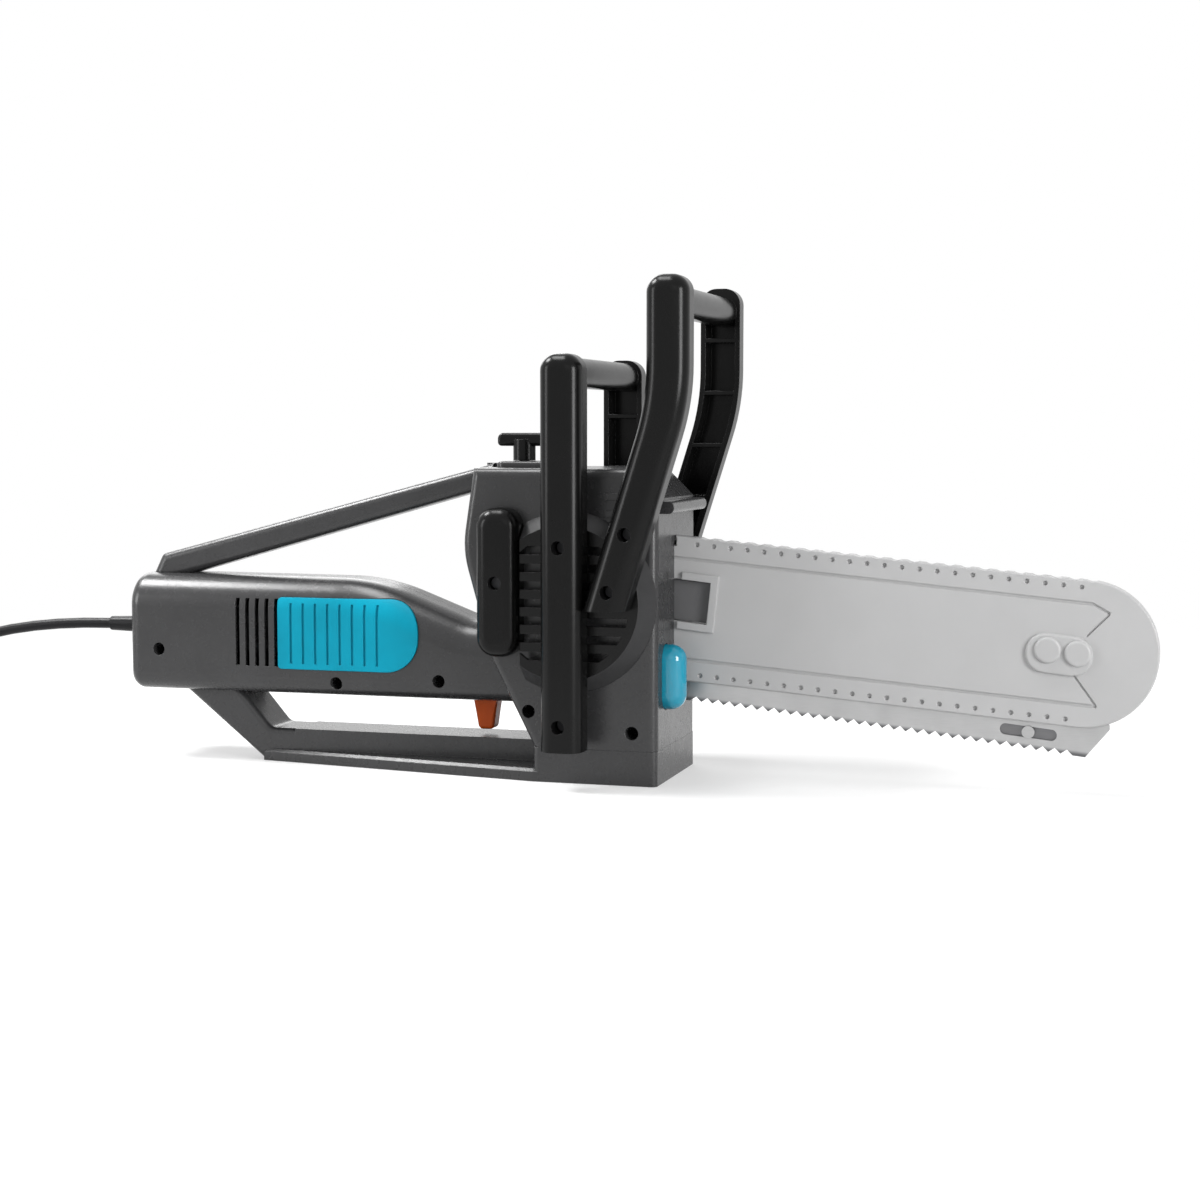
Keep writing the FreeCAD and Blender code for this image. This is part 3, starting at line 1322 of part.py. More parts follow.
# Hoops: two channelled and ribbed legs, the far one a mirror image, and a bar across them.
def hoop(name, leg_outline, channel_outline, bar_x, bar_top, rib_levels, screws):
    leg = plate(name + "_leg", leg_outline, -hoop_outer, -hoop_inner)
    foot = float(leg_outline[0][1] + hoop_wall)

    def on_outer_edge(edge):
        return edge_lies(edge, "Y", -hoop_outer) and edge.CenterOfMass.z > foot

    soften(leg, name + "_leg_edge", hoop_round, on_outer_edge)
    channel = plate(name + "_channel", channel_outline, hoop_wall - hoop_outer, 1 - hoop_inner)
    solids = []
    for place, level in enumerate(rib_levels):
        solids.append(
            box("{}_rib_{}".format(name, place), ALL_ACROSS, ALL_ACROSS, (level, level + hoop_rib))
        )
    holes = []
    fixings = []
    seat = hoop_inner + screw_seat
    grip = screw_seat + hoop_screw_grip
    for label, x, z in screws:
        solids.append(
            rod("{}_boss_{}".format(name, label), "Y", hoop_boss_radius, -hoop_outer, hoop_depth, (x, z))
        )
        holes.append(
            rod("{}_hole_{}".format(name, label), "Y", screw_hole, -hoop_outer, hoop_outer, (x, z))
        )
        sunk = hoop_outer + 1 - seat
        holes.append(rod("{}_sink_{}".format(name, label), "Y", screw_sink, -hoop_outer - 1, sunk, (x, z)))
        fixings.append(screw("{}_screw_near_{}".format(name, label), "Y", -seat, -1, grip, (x, z)))
        fixings.append(screw("{}_screw_far_{}".format(name, label), "Y", seat, 1, grip, (x, z)))
    hollow = cut(name + "_hollow", channel, fuse(name + "_solids", solids))
    near_leg = cut(name + "_near_leg", leg, fuse(name + "_leg_tools", [hollow] + holes))
    bar_half_width = hoop_bar_width / 2
    bar_end = hoop_outer - hoop_round / 2
    bar = plate(
        name + "_bar",
        corners_of(
            (bar_x - bar_half_width, bar_x + bar_half_width),
            (bar_top - hoop_bar_height, bar_top),
            hoop_bar_round,
        ),
        -bar_end,
        bar_end,
    )
    node(name, fuse(name, [near_leg, mirror(name + "_far_leg", near_leg), bar]))
    node(name + "_screws", compound(name + "_screws", fixings))


def straight_side(inset, top, dome):
    """Side outline of the front handle's legs."""
    half = hoop_width / 2 - inset
    return [
        (wrap_x - half, wrap_bottom + inset),
        (wrap_x + half, wrap_bottom + inset),
        (wrap_x + half, top, dome),
        (wrap_x - half, top, dome),
    ]


def bent_side(inset, top, dome):
    """Side outline of the hand guard's legs."""
    half = hoop_width / 2 - inset
    return [
        (guard_bottom_x - half, guard_bottom + inset),
        (guard_bottom_x + half, guard_bottom + inset),
        (guard_x + half, guard_bend_level, guard_bend_round + inset),
        (guard_x + half, top, dome),
        (guard_x - half, top, dome),
        (guard_x - half, guard_bend_level, guard_bend_round - inset),
    ]


def levels(first, last):
    found = []
    level = first
    while level < last:
        found.append(level)
        level = level + hoop_rib_pitch
    return found


wrap_bar_top = wrap_top - wrap_bar_drop
wrap_channel_top = wrap_bar_top - hoop_bar_height / 2
hoop(
    "front_handle",
    straight_side(Dim(0), wrap_top, hoop_dome),
    straight_side(hoop_wall, wrap_channel_top, hoop_wall),
    wrap_x,
    wrap_bar_top,
    levels(wrap_screw_low + hoop_rib_pitch / 2, wrap_channel_top - hoop_rib_pitch / 2),
    HOOP_SCREWS[:2],
)
guard_bar_top = guard_top - guard_bar_drop
guard_channel_top = guard_bar_top - hoop_bar_height / 2
hoop(
    "hand_guard",
    bent_side(Dim(0), guard_top, hoop_dome),
    bent_side(hoop_wall, guard_channel_top, hoop_wall),
    guard_x,
    guard_bar_top,
    levels(guard_screw_high + hoop_rib_pitch / 2, guard_channel_top - hoop_rib_pitch / 2),
    HOOP_SCREWS[2:],
)

# Fan covers.
fan_face = -half_body - fan_height
fan_blank = cone("fan_blank", "Y", fan_face_radius, fan_radius, fan_face, fan_height, (fan_x, fan_level))
fan_hollow = cone(
    "fan_hollow",
    "Y",
    fan_face_radius - fan_wall,
    fan_radius - fan_wall,
    fan_face + fan_wall,
    fan_height - fan_wall,
    (fan_x, fan_level),
)
louvre_first = fan_level - louvre_pitch * (louvre_count - 1) / 2 - louvre_width / 2
louvre_boxes = []
for side, near_x, far_x in (("rear", -louvre_radius, -fan_wall), ("front", fan_wall, louvre_radius)):
    louvre_boxes += row(
        "louvre_" + side,
        louvre_count,
        louvre_first,
        louvre_pitch,
        lambda label, z: box(
            label,
            (fan_x + near_x, fan_x + far_x),
            (fan_face - 1, fan_face + fan_height / 2),
            (z, z + louvre_width),
        ),
    )
louvre_limit = rod("louvre_limit", "Y", louvre_radius, fan_face - 1, fan_height, (fan_x, fan_level))
louvres = common("louvres", [louvre_limit, fuse("louvre_stock", louvre_boxes)])
fan_tools = [fan_hollow, louvres]
for label, x, z in HOOP_SCREWS:
    fan_tools.append(
        rod("fan_hole_" + label, "Y", post_radius + post_gap, fan_face - 1, fan_height + 2, (x, z))
    )
far_cover = cut("fan_cover_blank", fan_blank, fuse("fan_tools", fan_tools))
node("fan_cover_left", mirror("fan_cover_left", far_cover))
pull_space = box(
    "pull_space",
    (pull_rear_x * 2, pull_front_x + pull_gap),
    (fan_face - 1, body_side + 1),
    (fan_level - fan_radius - 1, fan_level + fan_radius + 1),
)
node("fan_cover_right", cut("fan_cover_right", far_cover, pull_space))

# Pull-start bar.
pull_face = body_side - pull_thick
pull_blank = plate(
    "pull_blank",
    [
        (pull_rear_x, pull_low, pull_round),
        (pull_front_x, pull_low, pull_round),
        (pull_front_x, pull_high, pull_round),
        (pull_rear_x, pull_high, pull_round),
    ],
    pull_face,
    body_side,
)
soften(pull_blank, "pull_edge_rounding", pull_edge, lambda edge: edge_lies(edge, "Y", pull_face))
pull_seat = body_side - pull_thick / 2
pull_tools = [
    rod("pull_sink", "Y", screw_sink, pull_face - 1, pull_thick / 2 + 1, (pull_x, pull_level)),
    rod("pull_hole", "Y", screw_hole, pull_face, pull_thick + 1, (pull_x, pull_level)),
]
node("pull_bar", cut("pull_bar", pull_blank, fuse("pull_tools", pull_tools)))
pull_grip = pull_thick / 2 + shell_wall + screw_seat
node("pull_bar_screw", screw("pull_bar_screw", "Y", pull_seat, -1, pull_grip, (pull_x, pull_level)))

# Top cover and wing knob.
cover_blank = plate(
    "cover_blank",
    [
        (cover_rear_x, -cover_width / 2, cover_corner),
        (cover_front_x, -cover_width / 2, cover_corner),
        (cover_front_x, cover_width / 2, cover_corner),
        (cover_rear_x, cover_width / 2, cover_corner),
    ],
    body_top,
    body_top + cover_thick,
    "XY",
)
cover_top = body_top + cover_thick
soften(cover_blank, "cover_edge", cover_thick / 2, lambda edge: edge_lies(edge, "Z", cover_top))
cover_bore = rod(
    "cover_bore",
    "Z",
    knob_spindle_radius + turn_gap,
    body_top - 1,
    cover_thick + 2,
    (knob_x, 0),
)
node("top_cover", cut("top_cover", cover_blank, cover_bore))
stem_low = cover_top + turn_gap
wing_low = stem_low + knob_stem_height
wing = plate(
    "wing",
    [
        (knob_x - wing_length / 2, wing_low, wing_foot_round),
        (knob_x + wing_length / 2, wing_low, wing_foot_round),
        (knob_x + wing_length / 2, wing_low + wing_height, wing_tip_round),
        (knob_x - wing_length / 2, wing_low + wing_height, wing_tip_round),
    ],
    -wing_width / 2,
    wing_width / 2,
)
soften(
    wing,
    "wing_edge",
    wing_width / 4,
    lambda edge: edge_lies(edge, "Y", wing_width / 2) or edge_lies(edge, "Y", -wing_width / 2),
)
stem = rod("knob_stem", "Z", knob_stem_radius, stem_low, knob_stem_height + wing_height / 2, (knob_x, 0))
spindle_low = body_top - shell_wall - clip_thick * 2
spindle = rod("knob_spindle", "Z", knob_spindle_radius, spindle_low, stem_low - spindle_low, (knob_x, 0))
node("wing_knob", fuse("wing_knob", [wing, stem, spindle]))
clip_low = body_top - shell_wall - turn_gap - clip_thick
clip_disc = rod("clip_disc", "Z", clip_radius, clip_low, clip_thick, (knob_x, 0))
clip_bore = rod(
    "clip_bore",
    "Z",
    knob_spindle_radius + seam_gap / 2,
    clip_low - 1,
    clip_thick + 2,
    (knob_x, 0),
)
node("knob_clip", cut("knob_clip", clip_disc, clip_bore))
doc.recompute()

# Motor, on an axis along the handle.
AXIS = (Dim(0), motor_level)


def tube(name, outer, inner, start, length):
    """Ring about the motor axis."""
    blank = rod(name + "_blank", "X", outer, start, length, AXIS)
    bore = rod(name + "_bore", "X", inner, start - 1, length + 2, AXIS)
    return cut(name, blank, bore)


can_inner = can_radius - can_wall
can_front_x = can_rear_x + can_length
node("motor_can", tube("motor_can", can_radius, can_inner, can_rear_x, can_length))
bell_radius = can_inner - seam_gap
bush_seat = bush_radius + seam_gap / 2
front_bell_x = can_front_x - bell_thick
end_bells = [
    tube("end_bell_rear", bell_radius, bush_seat, can_rear_x, bell_thick),
    tube("end_bell_front", bell_radius, bush_seat, front_bell_x, bell_thick),
]
node("end_bells", compound("end_bells", end_bells))
shaft_bore = shaft_radius + running_gap
shaft_bushes = [
    tube("bush_rear", bush_radius, shaft_bore, can_rear_x, bell_thick),
    tube("bush_front", bush_radius, shaft_bore, front_bell_x, bell_thick),
    tube("bush_nose", bush_radius, shaft_bore, saddle_rear_x, saddle_length),
]
node("shaft_bushes", compound("shaft_bushes", shaft_bushes))
core_rear_x = can_rear_x + bell_thick + winding_length + motor_clear
core_front_x = core_rear_x + core_length
magnet_rear_x = core_rear_x - (magnet_length - core_length) / 2
magnet_ring = tube("magnet_ring", can_inner - seam_gap, magnet_inner, magnet_rear_x, magnet_length)
magnet_split = box(
    "magnet_split",
    (magnet_rear_x - 1, magnet_rear_x + magnet_length + 1),
    (-can_radius, can_radius),
    (motor_level - magnet_split_height / 2, motor_level + magnet_split_height / 2),
)
node("field_magnets", cut("field_magnets", magnet_ring, magnet_split))
node("motor_shaft", rod("motor_shaft", "X", shaft_radius, shaft_rear_x, shaft_front_x - shaft_rear_x, AXIS))
hub_bore = shaft_radius + seam_gap / 2


def spoked(name, x, radius, thickness, cutter, kind, start, depth, count):
    """Disc about the motor axis with a repeated cut or blade."""
    body = body_of(name + "_disc")
    disc = add_sketch(body, name + "_circle", "YZ")
    ring(disc, (Dim(0), Dim(0)), radius)
    pad(body, name + "_pad", disc, thickness)
    spoke = add_sketch(body, name + "_spoke", "YZ", start)
    outline(spoke, cutter)
    feature = pad(body, name + "_feature", spoke, depth, kind)
    pattern = body.newObject("PartDesign::PolarPattern", name + "_pattern")
    pattern.Originals = [feature]
    pattern.Axis = (origin_item(body, ORIGIN_AXES["X"]), [""])
    pattern.Angle = 360
    pattern.Occurrences = int(count)
    bind(pattern, "Occurrences", count)
    body.Tip = pattern
    put(body, x, 0, motor_level)
    doc.recompute()
    bore = rod(
        name + "_bore",
        "X",
        hub_bore,
        x - fan_blade_depth * 2,
        thickness + fan_blade_depth * 4,
        AXIS,
    )
    return cut(name, body, bore)


core_cut = [
    (core_radius - slot_depth, -slot_width / 2),
    (core_radius + 1, -slot_width / 2),
    (core_radius + 1, slot_width / 2),
    (core_radius - slot_depth, slot_width / 2),
]
node(
    "armature_core",
    spoked(
        "armature_core",
        core_rear_x,
        core_radius,
        core_length,
        core_cut,
        "PartDesign::Pocket",
        core_length,
        core_length,
        core_slots,
    ),
)
winding_bore = shaft_radius + seam_gap / 2
winding_rear = tube(
    "winding_rear",
    winding_radius,
    winding_bore,
    core_rear_x - winding_length,
    winding_length,
)
winding_front = tube("winding_front", winding_radius, winding_bore, core_front_x, winding_length)
node("armature_winding", compound("armature_winding", [winding_rear, winding_front]))
commutator_x = core_front_x + winding_length + seat_thick / 2
node("commutator", tube("commutator", commutator_radius, hub_bore, commutator_x, commutator_length))
brush_x = commutator_x + commutator_length / 2
brush_reach = commutator_radius + seam_gap * 2
brushes = []
brush_slots = []
brush_ends = brush_reach + brush_length
for side, low, high in (("near", -brush_ends, -brush_reach), ("far", brush_reach, brush_ends)):
    half = brush_size / 2
    brushes.append(
        box(
            "brush_" + side,
            (brush_x - half, brush_x + half),
            (low, high),
            (motor_level - half, motor_level + half),
        )
    )
    room = half + seam_gap
    brush_slots.append(
        box(
            "brush_slot_" + side,
            (brush_x - room, brush_x + room),
            (low - room, high + room),
            (motor_level - room, motor_level + room),
        )
    )
node("carbon_brushes", compound("carbon_brushes", brushes))
card_blank = tube(
    "brush_card_blank",
    bell_radius,
    commutator_radius + 1,
    brush_x - card_thick / 2,
    card_thick,
)
node("brush_card", cut("brush_card", card_blank, fuse("brush_slots", brush_slots)))
fan_x_front = can_rear_x - fan_blade_depth
fan_blade_root = fan_hub_radius - fan_disc / 2
fan_blade_tip = fan_disc_radius - fan_disc / 2
blade_shape = [
    (fan_blade_root, -fan_disc / 2),
    (fan_blade_tip, -fan_disc / 2),
    (fan_blade_tip, fan_disc / 2),
    (fan_blade_root, fan_disc / 2),
]
fan_rotor = spoked(
    "fan_rotor",
    fan_x_front - fan_disc,
    fan_disc_radius,
    fan_disc,
    blade_shape,
    "PartDesign::Pad",
    -fan_blade_depth,
    fan_blade_depth,
    fan_blades,
)
fan_hub = tube(
    "fan_hub",
    fan_hub_radius,
    hub_bore,
    fan_x_front - fan_disc - fan_blade_depth,
    fan_blade_depth,
)
node("cooling_fan", fuse("cooling_fan", [fan_rotor, fan_hub]))


def mount_outline(inset):
    half = handle_width / 2 - inset
    top = handle_top - inset - mount_trim
    floor = handle_bottom + inset
    return [
        (-half, floor, keel_round - inset),
        (half, floor, keel_round - inset),
        (half, top, shoulder_round - inset),
        (-half, top, shoulder_round - inset),
    ]


def motor_mount(name, x):
    blank = plate(name + "_blank", mount_outline(shell_wall + seam_gap), x, x + mount_thick, "YZ")
    bore = rod(name + "_bore", "X", can_radius + seam_gap, x - 1, mount_thick + 2, AXIS)
    return cut(name, blank, bore)


motor_mounts = [
    motor_mount("motor_mount_rear", can_rear_x + mount_inset),
    motor_mount("motor_mount_front", can_front_x - mount_inset - mount_thick),
]
node("motor_mounts", compound("motor_mounts", motor_mounts))

# Worm and drive gear.
axial_pitch = Dim(math.pi, "pi") * tooth_module
worm_root = worm_pitch_radius - tooth_root * tooth_module
worm_tip = worm_pitch_radius + tooth_module
worm_body = body_of("worm_body")
worm_core = add_sketch(worm_body, "worm_core", "YZ", -worm_length / 2)
ring(worm_core, (Dim(0), Dim(0)), worm_root)
pad(worm_body, "worm_core_pad", worm_core, worm_length)
thread = add_sketch(worm_body, "worm_thread_profile", "XZ")
thread_x = -axial_pitch * worm_turns / 2
thread_base = worm_root - tooth_module / 4
thread_foot = thread_thin / 2 + (worm_pitch_radius - thread_base) * tooth_slope
thread_crest = thread_thin / 2 - tooth_module * tooth_slope
outline(
    thread,
    [
        (thread_x - thread_foot, -thread_base),
        (thread_x - thread_crest, -worm_tip),
        (thread_x + thread_crest, -worm_tip),
        (thread_x + thread_foot, -thread_base),
    ],
)
helix = worm_body.newObject("PartDesign::AdditiveHelix", "worm_thread")
helix.Profile = thread
helix.ReferenceAxis = (origin_item(worm_body, ORIGIN_AXES["X"]), [""])
helix.Mode = "pitch-turns-angle"
helix.Pitch = float(axial_pitch)
helix.Turns = float(worm_turns)
bind(helix, "Pitch", axial_pitch)
bind(helix, "Turns", worm_turns)
worm_body.Tip = helix
put(worm_body, gear_x, 0, motor_level)
doc.recompute()
worm_bore = rod("worm_bore", "X", hub_bore, gear_x - worm_length, worm_length * 2, AXIS)
node("worm", cut("worm", worm_body, worm_bore))

gear_half = gear_width / 2
gear_tip_radius = gear_pitch_radius + tooth_module
gear_root_radius = gear_pitch_radius - tooth_root * tooth_module
gear_body = body_of("gear_body")
gear_disc = add_sketch(gear_body, "gear_disc", "XZ", -gear_half)
ring(gear_disc, (Dim(0), Dim(0)), gear_root_radius)
pad(gear_body, "gear_disc_pad", gear_disc, gear_width)
tooth_foot = tooth_thin / 2 + tooth_root * tooth_slope
tooth_crest = tooth_thin / 2 - tooth_module * tooth_slope
tooth_base = gear_root_radius - tooth_module / 2
lead_shift = gear_half * axial_pitch / (worm_pitch_radius * 2 * math.pi)
lead_turn = Dim(
    math.degrees(math.atan2(lead_shift, gear_pitch_radius)),
    "(atan2({}; {}) / 1 deg)".format(lead_shift.text, gear_pitch_radius.text),
)


def turned(along, up, angle):
    """Point turned about the gear axis."""
    return (along * cosine(angle) + up * sine(angle), up * cosine(angle) - along * sine(angle))


tooth_ends = []
for label, offset, angle in (
    ("far", -gear_half, lead_turn - blade_tilt),
    ("near", gear_half, -lead_turn - blade_tilt),
):
    tooth_end = add_sketch(gear_body, "gear_tooth_" + label, "XZ", offset)
    outline(
        tooth_end,
        [
            turned(-tooth_foot, tooth_base, angle),
            turned(tooth_foot, tooth_base, angle),
            turned(tooth_crest, gear_tip_radius, angle),
            turned(-tooth_crest, gear_tip_radius, angle),
        ],
    )
    tooth_ends.append(tooth_end)
tooth = gear_body.newObject("PartDesign::AdditiveLoft", "gear_tooth")
tooth.Profile = tooth_ends[0]
tooth.Sections = tooth_ends[1:]
tooth.Ruled = True
gear_body.Tip = tooth
doc.recompute()
teeth = gear_body.newObject("PartDesign::PolarPattern", "gear_teeth_pattern")
teeth.Originals = [tooth]
teeth.Axis = (origin_item(gear_body, ORIGIN_AXES["Y"]), [""])
teeth.Angle = 360
teeth.Occurrences = int(gear_teeth)
bind(teeth, "Occurrences", gear_teeth)
gear_body.Tip = teeth
doc.recompute()
eccentric_thick = driver_gap + driver_thick + turn_gap
eccentric_far = rod(
    "eccentric_far",
    "Y",
    eccentric_radius,
    gear_half,
    eccentric_thick,
    (Dim(0), crank_throw),
)
eccentric_near = rod(
    "eccentric_near",
    "Y",
    eccentric_radius,
    -gear_half - eccentric_thick,
    eccentric_thick,
    (Dim(0), -crank_throw),
)
gear_blank = fuse("gear_blank", [gear_body, eccentric_far, eccentric_near])
gear_bore = rod(
    "gear_bore",
    "Y",
    axle_radius + running_gap,
    -gear_width * 2,
    gear_width * 4,
    (Dim(0), Dim(0)),
)
node("drive_gear", blade_line(cut("drive_gear", gear_blank, gear_bore)))
axle_reach = axle_boss_face + axle_seat - seam_gap
node("gear_axle", rod("gear_axle", "Y", axle_radius, -axle_reach, axle_reach * 2, (gear_x, gear_level)))

# Blade drivers: yokes on the eccentrics, with an arm to each blade.
driver_inner = gear_half + driver_gap
blade_outer = blade_gap / 2 + blade_thick
window_along = eccentric_radius + yoke_play
window_up = eccentric_radius + crank_throw + yoke_clear

yoke_along = window_along + yoke_rim
yoke_up = window_up + yoke_rim
yoke = plate(
    "yoke",
    corners_of((-yoke_along, yoke_along), (-yoke_up, yoke_up), yoke_rim * 2),
    driver_inner,
    driver_outer,
)
yoke_window = plate(
    "yoke_window",
    corners_of((-window_along, window_along), (-window_up, window_up), yoke_rim),
    driver_inner - 1,
    driver_outer + 1,
)
arm = box("driver_arm", (yoke_along - yoke_rim, arm_end), (driver_inner, driver_outer), (arm_low, arm_high))
pad_block = box(
    "driver_pad", (tang_start + seam_gap * 5, arm_end), (blade_outer, driver_inner + 1), (arm_low, arm_high)
)
stud = rod(
    "driver_stud",
    "Y",
    stud_radius,
    blade_gap + seam_gap,
    blade_outer + seam_gap * 10 - blade_gap,
    (stud_reach, stud_level),
)
driver_stock = fuse("driver_stock", [cut("yoke_ring", yoke, yoke_window), arm, pad_block, stud])
node("blade_driver_left", blade_line(compound("blade_driver_left", [driver_stock])))
driver_twin = mirror("driver_twin", driver_stock)
node("blade_driver_right", blade_line(compound("blade_driver_right", [driver_twin])))

guide_inner = driver_outer + guide_gap
guide_blank = box(
    "guide_blank",
    (guide_start, guide_end),
    (-guide_outer, guide_outer),
    (arm_low - guide_gap - guide_wall, arm_high + guide_gap + guide_wall),
)
guide_channel = box(
    "guide_channel",
    (guide_start - 1, guide_end + 1),
    (-guide_inner, guide_inner),
    (arm_low - guide_gap, arm_high + guide_gap),
)
node("drive_guide", blade_line(cut("drive_guide", guide_blank, guide_channel)))


# Blades: straight back, serrated edge, slanted tip, tang inside the body.
def blade(name, low, high):
    body = plate(
        name + "_blank",
        [
            (tang_start, tang_low),
            (blade_shoulder, tang_low),
            (blade_shoulder, blade_low),
            (blade_reach - tip_cut, blade_low),
            (blade_reach, blade_low + tip_rise),
            (blade_reach, blade_high - tip_cut / 2, tip_round),
            (blade_reach - tip_cut, blade_high, tip_back_round),
            (blade_shoulder, blade_high),
            (blade_shoulder, tang_high),
            (tang_start, tang_high),
        ],
        low,
        high,
    )
    gullet = add_sketch(body, name + "_gullet", "XZ", -low)
    outline(
        gullet,
        [
            (edge_start, blade_low - 1),
            (edge_start + edge_pitch, blade_low - 1),
            (edge_start + edge_pitch, blade_low),
            (edge_start + edge_pitch / 2, blade_low + edge_depth),
            (edge_start, blade_low),
        ],
    )
    cutter = pad(body, name + "_gullet_cut", gullet, blade_thick, "PartDesign::Pocket")
    pattern = body.newObject("PartDesign::LinearPattern", name + "_teeth")
    pattern.Originals = [cutter]
    pattern.Direction = (origin_item(body, ORIGIN_AXES["X"]), [""])
    pattern.Length = float(edge_pitch * (edge_count - 1))
    pattern.Occurrences = int(edge_count)
    bind(pattern, "Length", edge_pitch * (edge_count - 1))
    bind(pattern, "Occurrences", edge_count)
    body.Tip = pattern
    doc.recompute()
    return body


stud_hole = rod(
    "stud_hole",
    "Y",
    stud_radius + seam_gap / 2,
    -bar_thick,
    bar_thick * 2,
    (stud_reach, stud_level),
)
rivet_hole = rod(
    "rivet_hole",
    "Y",
    rivet_radius + seam_gap / 2,
    -bar_thick,
    bar_thick * 2,
    (rivet_reach, rivet_level),
)
blade_far = blade("blade_far", blade_gap / 2, blade_outer)
node(
    "blade_left",
    blade_line(cut("blade_left", blade_far, fuse("blade_far_holes", [stud_hole, rivet_hole]))),
)
slot_room = rivet_radius + rivet_room
rivet_window = plate(
    "rivet_window",
    corners_of(
        (rivet_reach - rivet_slot / 2, rivet_reach + rivet_slot / 2),
        (rivet_level - slot_room, rivet_level + slot_room),
        slot_room - seam_gap / 2,
    ),
    -bar_thick,
    bar_thick,
)
blade_near = blade("blade_near", -blade_outer, -blade_gap / 2)
node(
    "blade_right",
    blade_line(cut("blade_right", blade_near, fuse("blade_near_holes", [stud_hole, rivet_window]))),
)
rivet_seat = -blade_outer - guide_gap / 2
rivet_shank = rod(
    "rivet_shank",
    "Y",
    rivet_radius,
    rivet_seat,
    blade_outer - rivet_seat,
    (rivet_reach, rivet_level),
)
rivet_cap = rod(
    "rivet_cap",
    "Y",
    rivet_head,
    rivet_seat - rivet_head_thick,
    rivet_head_thick,
    (rivet_reach, rivet_level),
)
node("blade_rivet", blade_line(fuse("blade_rivet", [rivet_shank, rivet_cap])))

# Guide-bar sheath: near half, then its mirror image.
def bar_root(level):
    """Root of the sheath at a height over the drive line, along the body's front face."""
    return (front_x + bar_root_gap - gear_x - level * sine(blade_tilt)) / cosine(blade_tilt)


def bar_line(root_level, tip_level, reach):
    """Height of a line that runs straight from the sheath's root to its nose tip."""
    root = bar_root(root_level)
    return root_level + (tip_level - root_level) * (reach - root) / (nose_tip - root)


def low_edge(reach):
    return bar_line(bar_root_low, bar_tip_low, reach)


def high_edge(reach):
    return bar_line(bar_root_high, bar_tip_high, reach)


nose_radius = (bar_tip_high - bar_tip_low) / 2 - nose_flat
nose_reach = nose_tip - nose_radius
nose_level = high_edge(nose_reach) - nose_radius
bar_plate = plate(
    "bar_plate",
    [
        (bar_root(bar_root_low), bar_root_low),
        (nose_tip, bar_tip_low, nose_radius),
        (nose_tip, bar_tip_high, nose_radius),
        (bar_root(bar_root_high), bar_root_high),
    ],
    -bar_half,
    Dim(0),
)
soften(bar_plate, "bar_edge_rounding", bar_edge, lambda edge: edge_lies(edge, "Y", -bar_half))
bar_tongue = box(
    "bar_tongue", (tongue_start, bar_root(tongue_low) + 1), (-bar_half, Dim(0)), (tongue_low, tongue_high)
)
rim_low = notch_low - rim_width
rim = box(
    "notch_rim",
    (bar_root(rim_low) + bar_edge, notch_end + rim_width),
    (-bar_half - rim_proud, -bar_half + 1),
    (rim_low, notch_high + rim_width),
)
pad_front = nose_tip - pad_back
pad_rear = pad_front - pad_spacing
boss_x = (pad_front + pad_rear) / 2 - boss_drop
boss_level = pad_level - boss_drop
boss_face = -bar_half - boss_proud
nose_boss = plate(
    "nose_boss",
    corners_of(
        (boss_x - boss_length / 2, boss_x + boss_length / 2),
        (boss_level - boss_height / 2, boss_level + boss_height / 2),
        boss_height / 2 - nose_flat,
    ),
    boss_face,
    -bar_half + 1,
)
soften(nose_boss, "nose_boss_edge", boss_edge, lambda edge: edge_lies(edge, "Y", boss_face))
bar_tools = [
    box("bar_notch", (tongue_start - 1, notch_end), (-bar_thick, Dim(1)), (notch_low, notch_high)),
    box("bar_slot", (tongue_start - 1, slot_end), (-slot_half, Dim(1)), (bar_root_low - 1, slot_high)),
    rod("bar_rivet_rear", "Y", pad_shank + seam_gap / 2, -bar_thick, bar_thick * 2, (pad_rear, pad_level)),
    rod(
        "bar_rivet_front",
        "Y",
        pad_shank + seam_gap / 2,
        -bar_thick,
        bar_thick * 2,
        (pad_front, pad_level),
    ),
]
groove_floor = -bar_half + groove_depth
hook_x = nose_tip - hook_start
hook_tip = (nose_tip - hook_end, hook_level)
vee_x = nose_tip - vee_end
high_groove_x = bar_root(bar_root_high) - 1
low_groove_x = bar_root(bar_root_low) - 1
GROOVES = [
    (
        "high",
        (high_groove_x, high_edge(high_groove_x) - band_width),
        (hook_x, high_edge(hook_x) - band_width),
    ),
    ("hook", (hook_x, high_edge(hook_x) - band_width), hook_tip),
    ("hook_back", (nose_tip - hook_back, hook_low), hook_tip),
    ("low", (low_groove_x, low_edge(low_groove_x) + band_width), (vee_x, low_edge(vee_x) + band_width)),
    ("vee", (nose_tip - vee_back, vee_high), (vee_x, low_edge(vee_x) + band_width)),
]
groove_side = groove_width / 2
for label, first, last in GROOVES:
    bar_tools.append(
        plate(
            "groove_" + label,
            [
                (first[0], first[1] - groove_side),
                (last[0], last[1] - groove_side),
                (last[0], last[1] + groove_side),
                (first[0], first[1] + groove_side),
            ],
            -bar_thick,
            groove_floor,
        )
    )


def dot(name, reach, level):
    return rod(name, "Y", dot_radius, -bar_thick, bar_half + dot_depth, (reach, level))


def scallop(name, reach):
    level = high_edge(reach) + scallop_radius - scallop_depth
    return rod(name, "Y", scallop_radius, -bar_thick, bar_thick * 2, (reach, level))


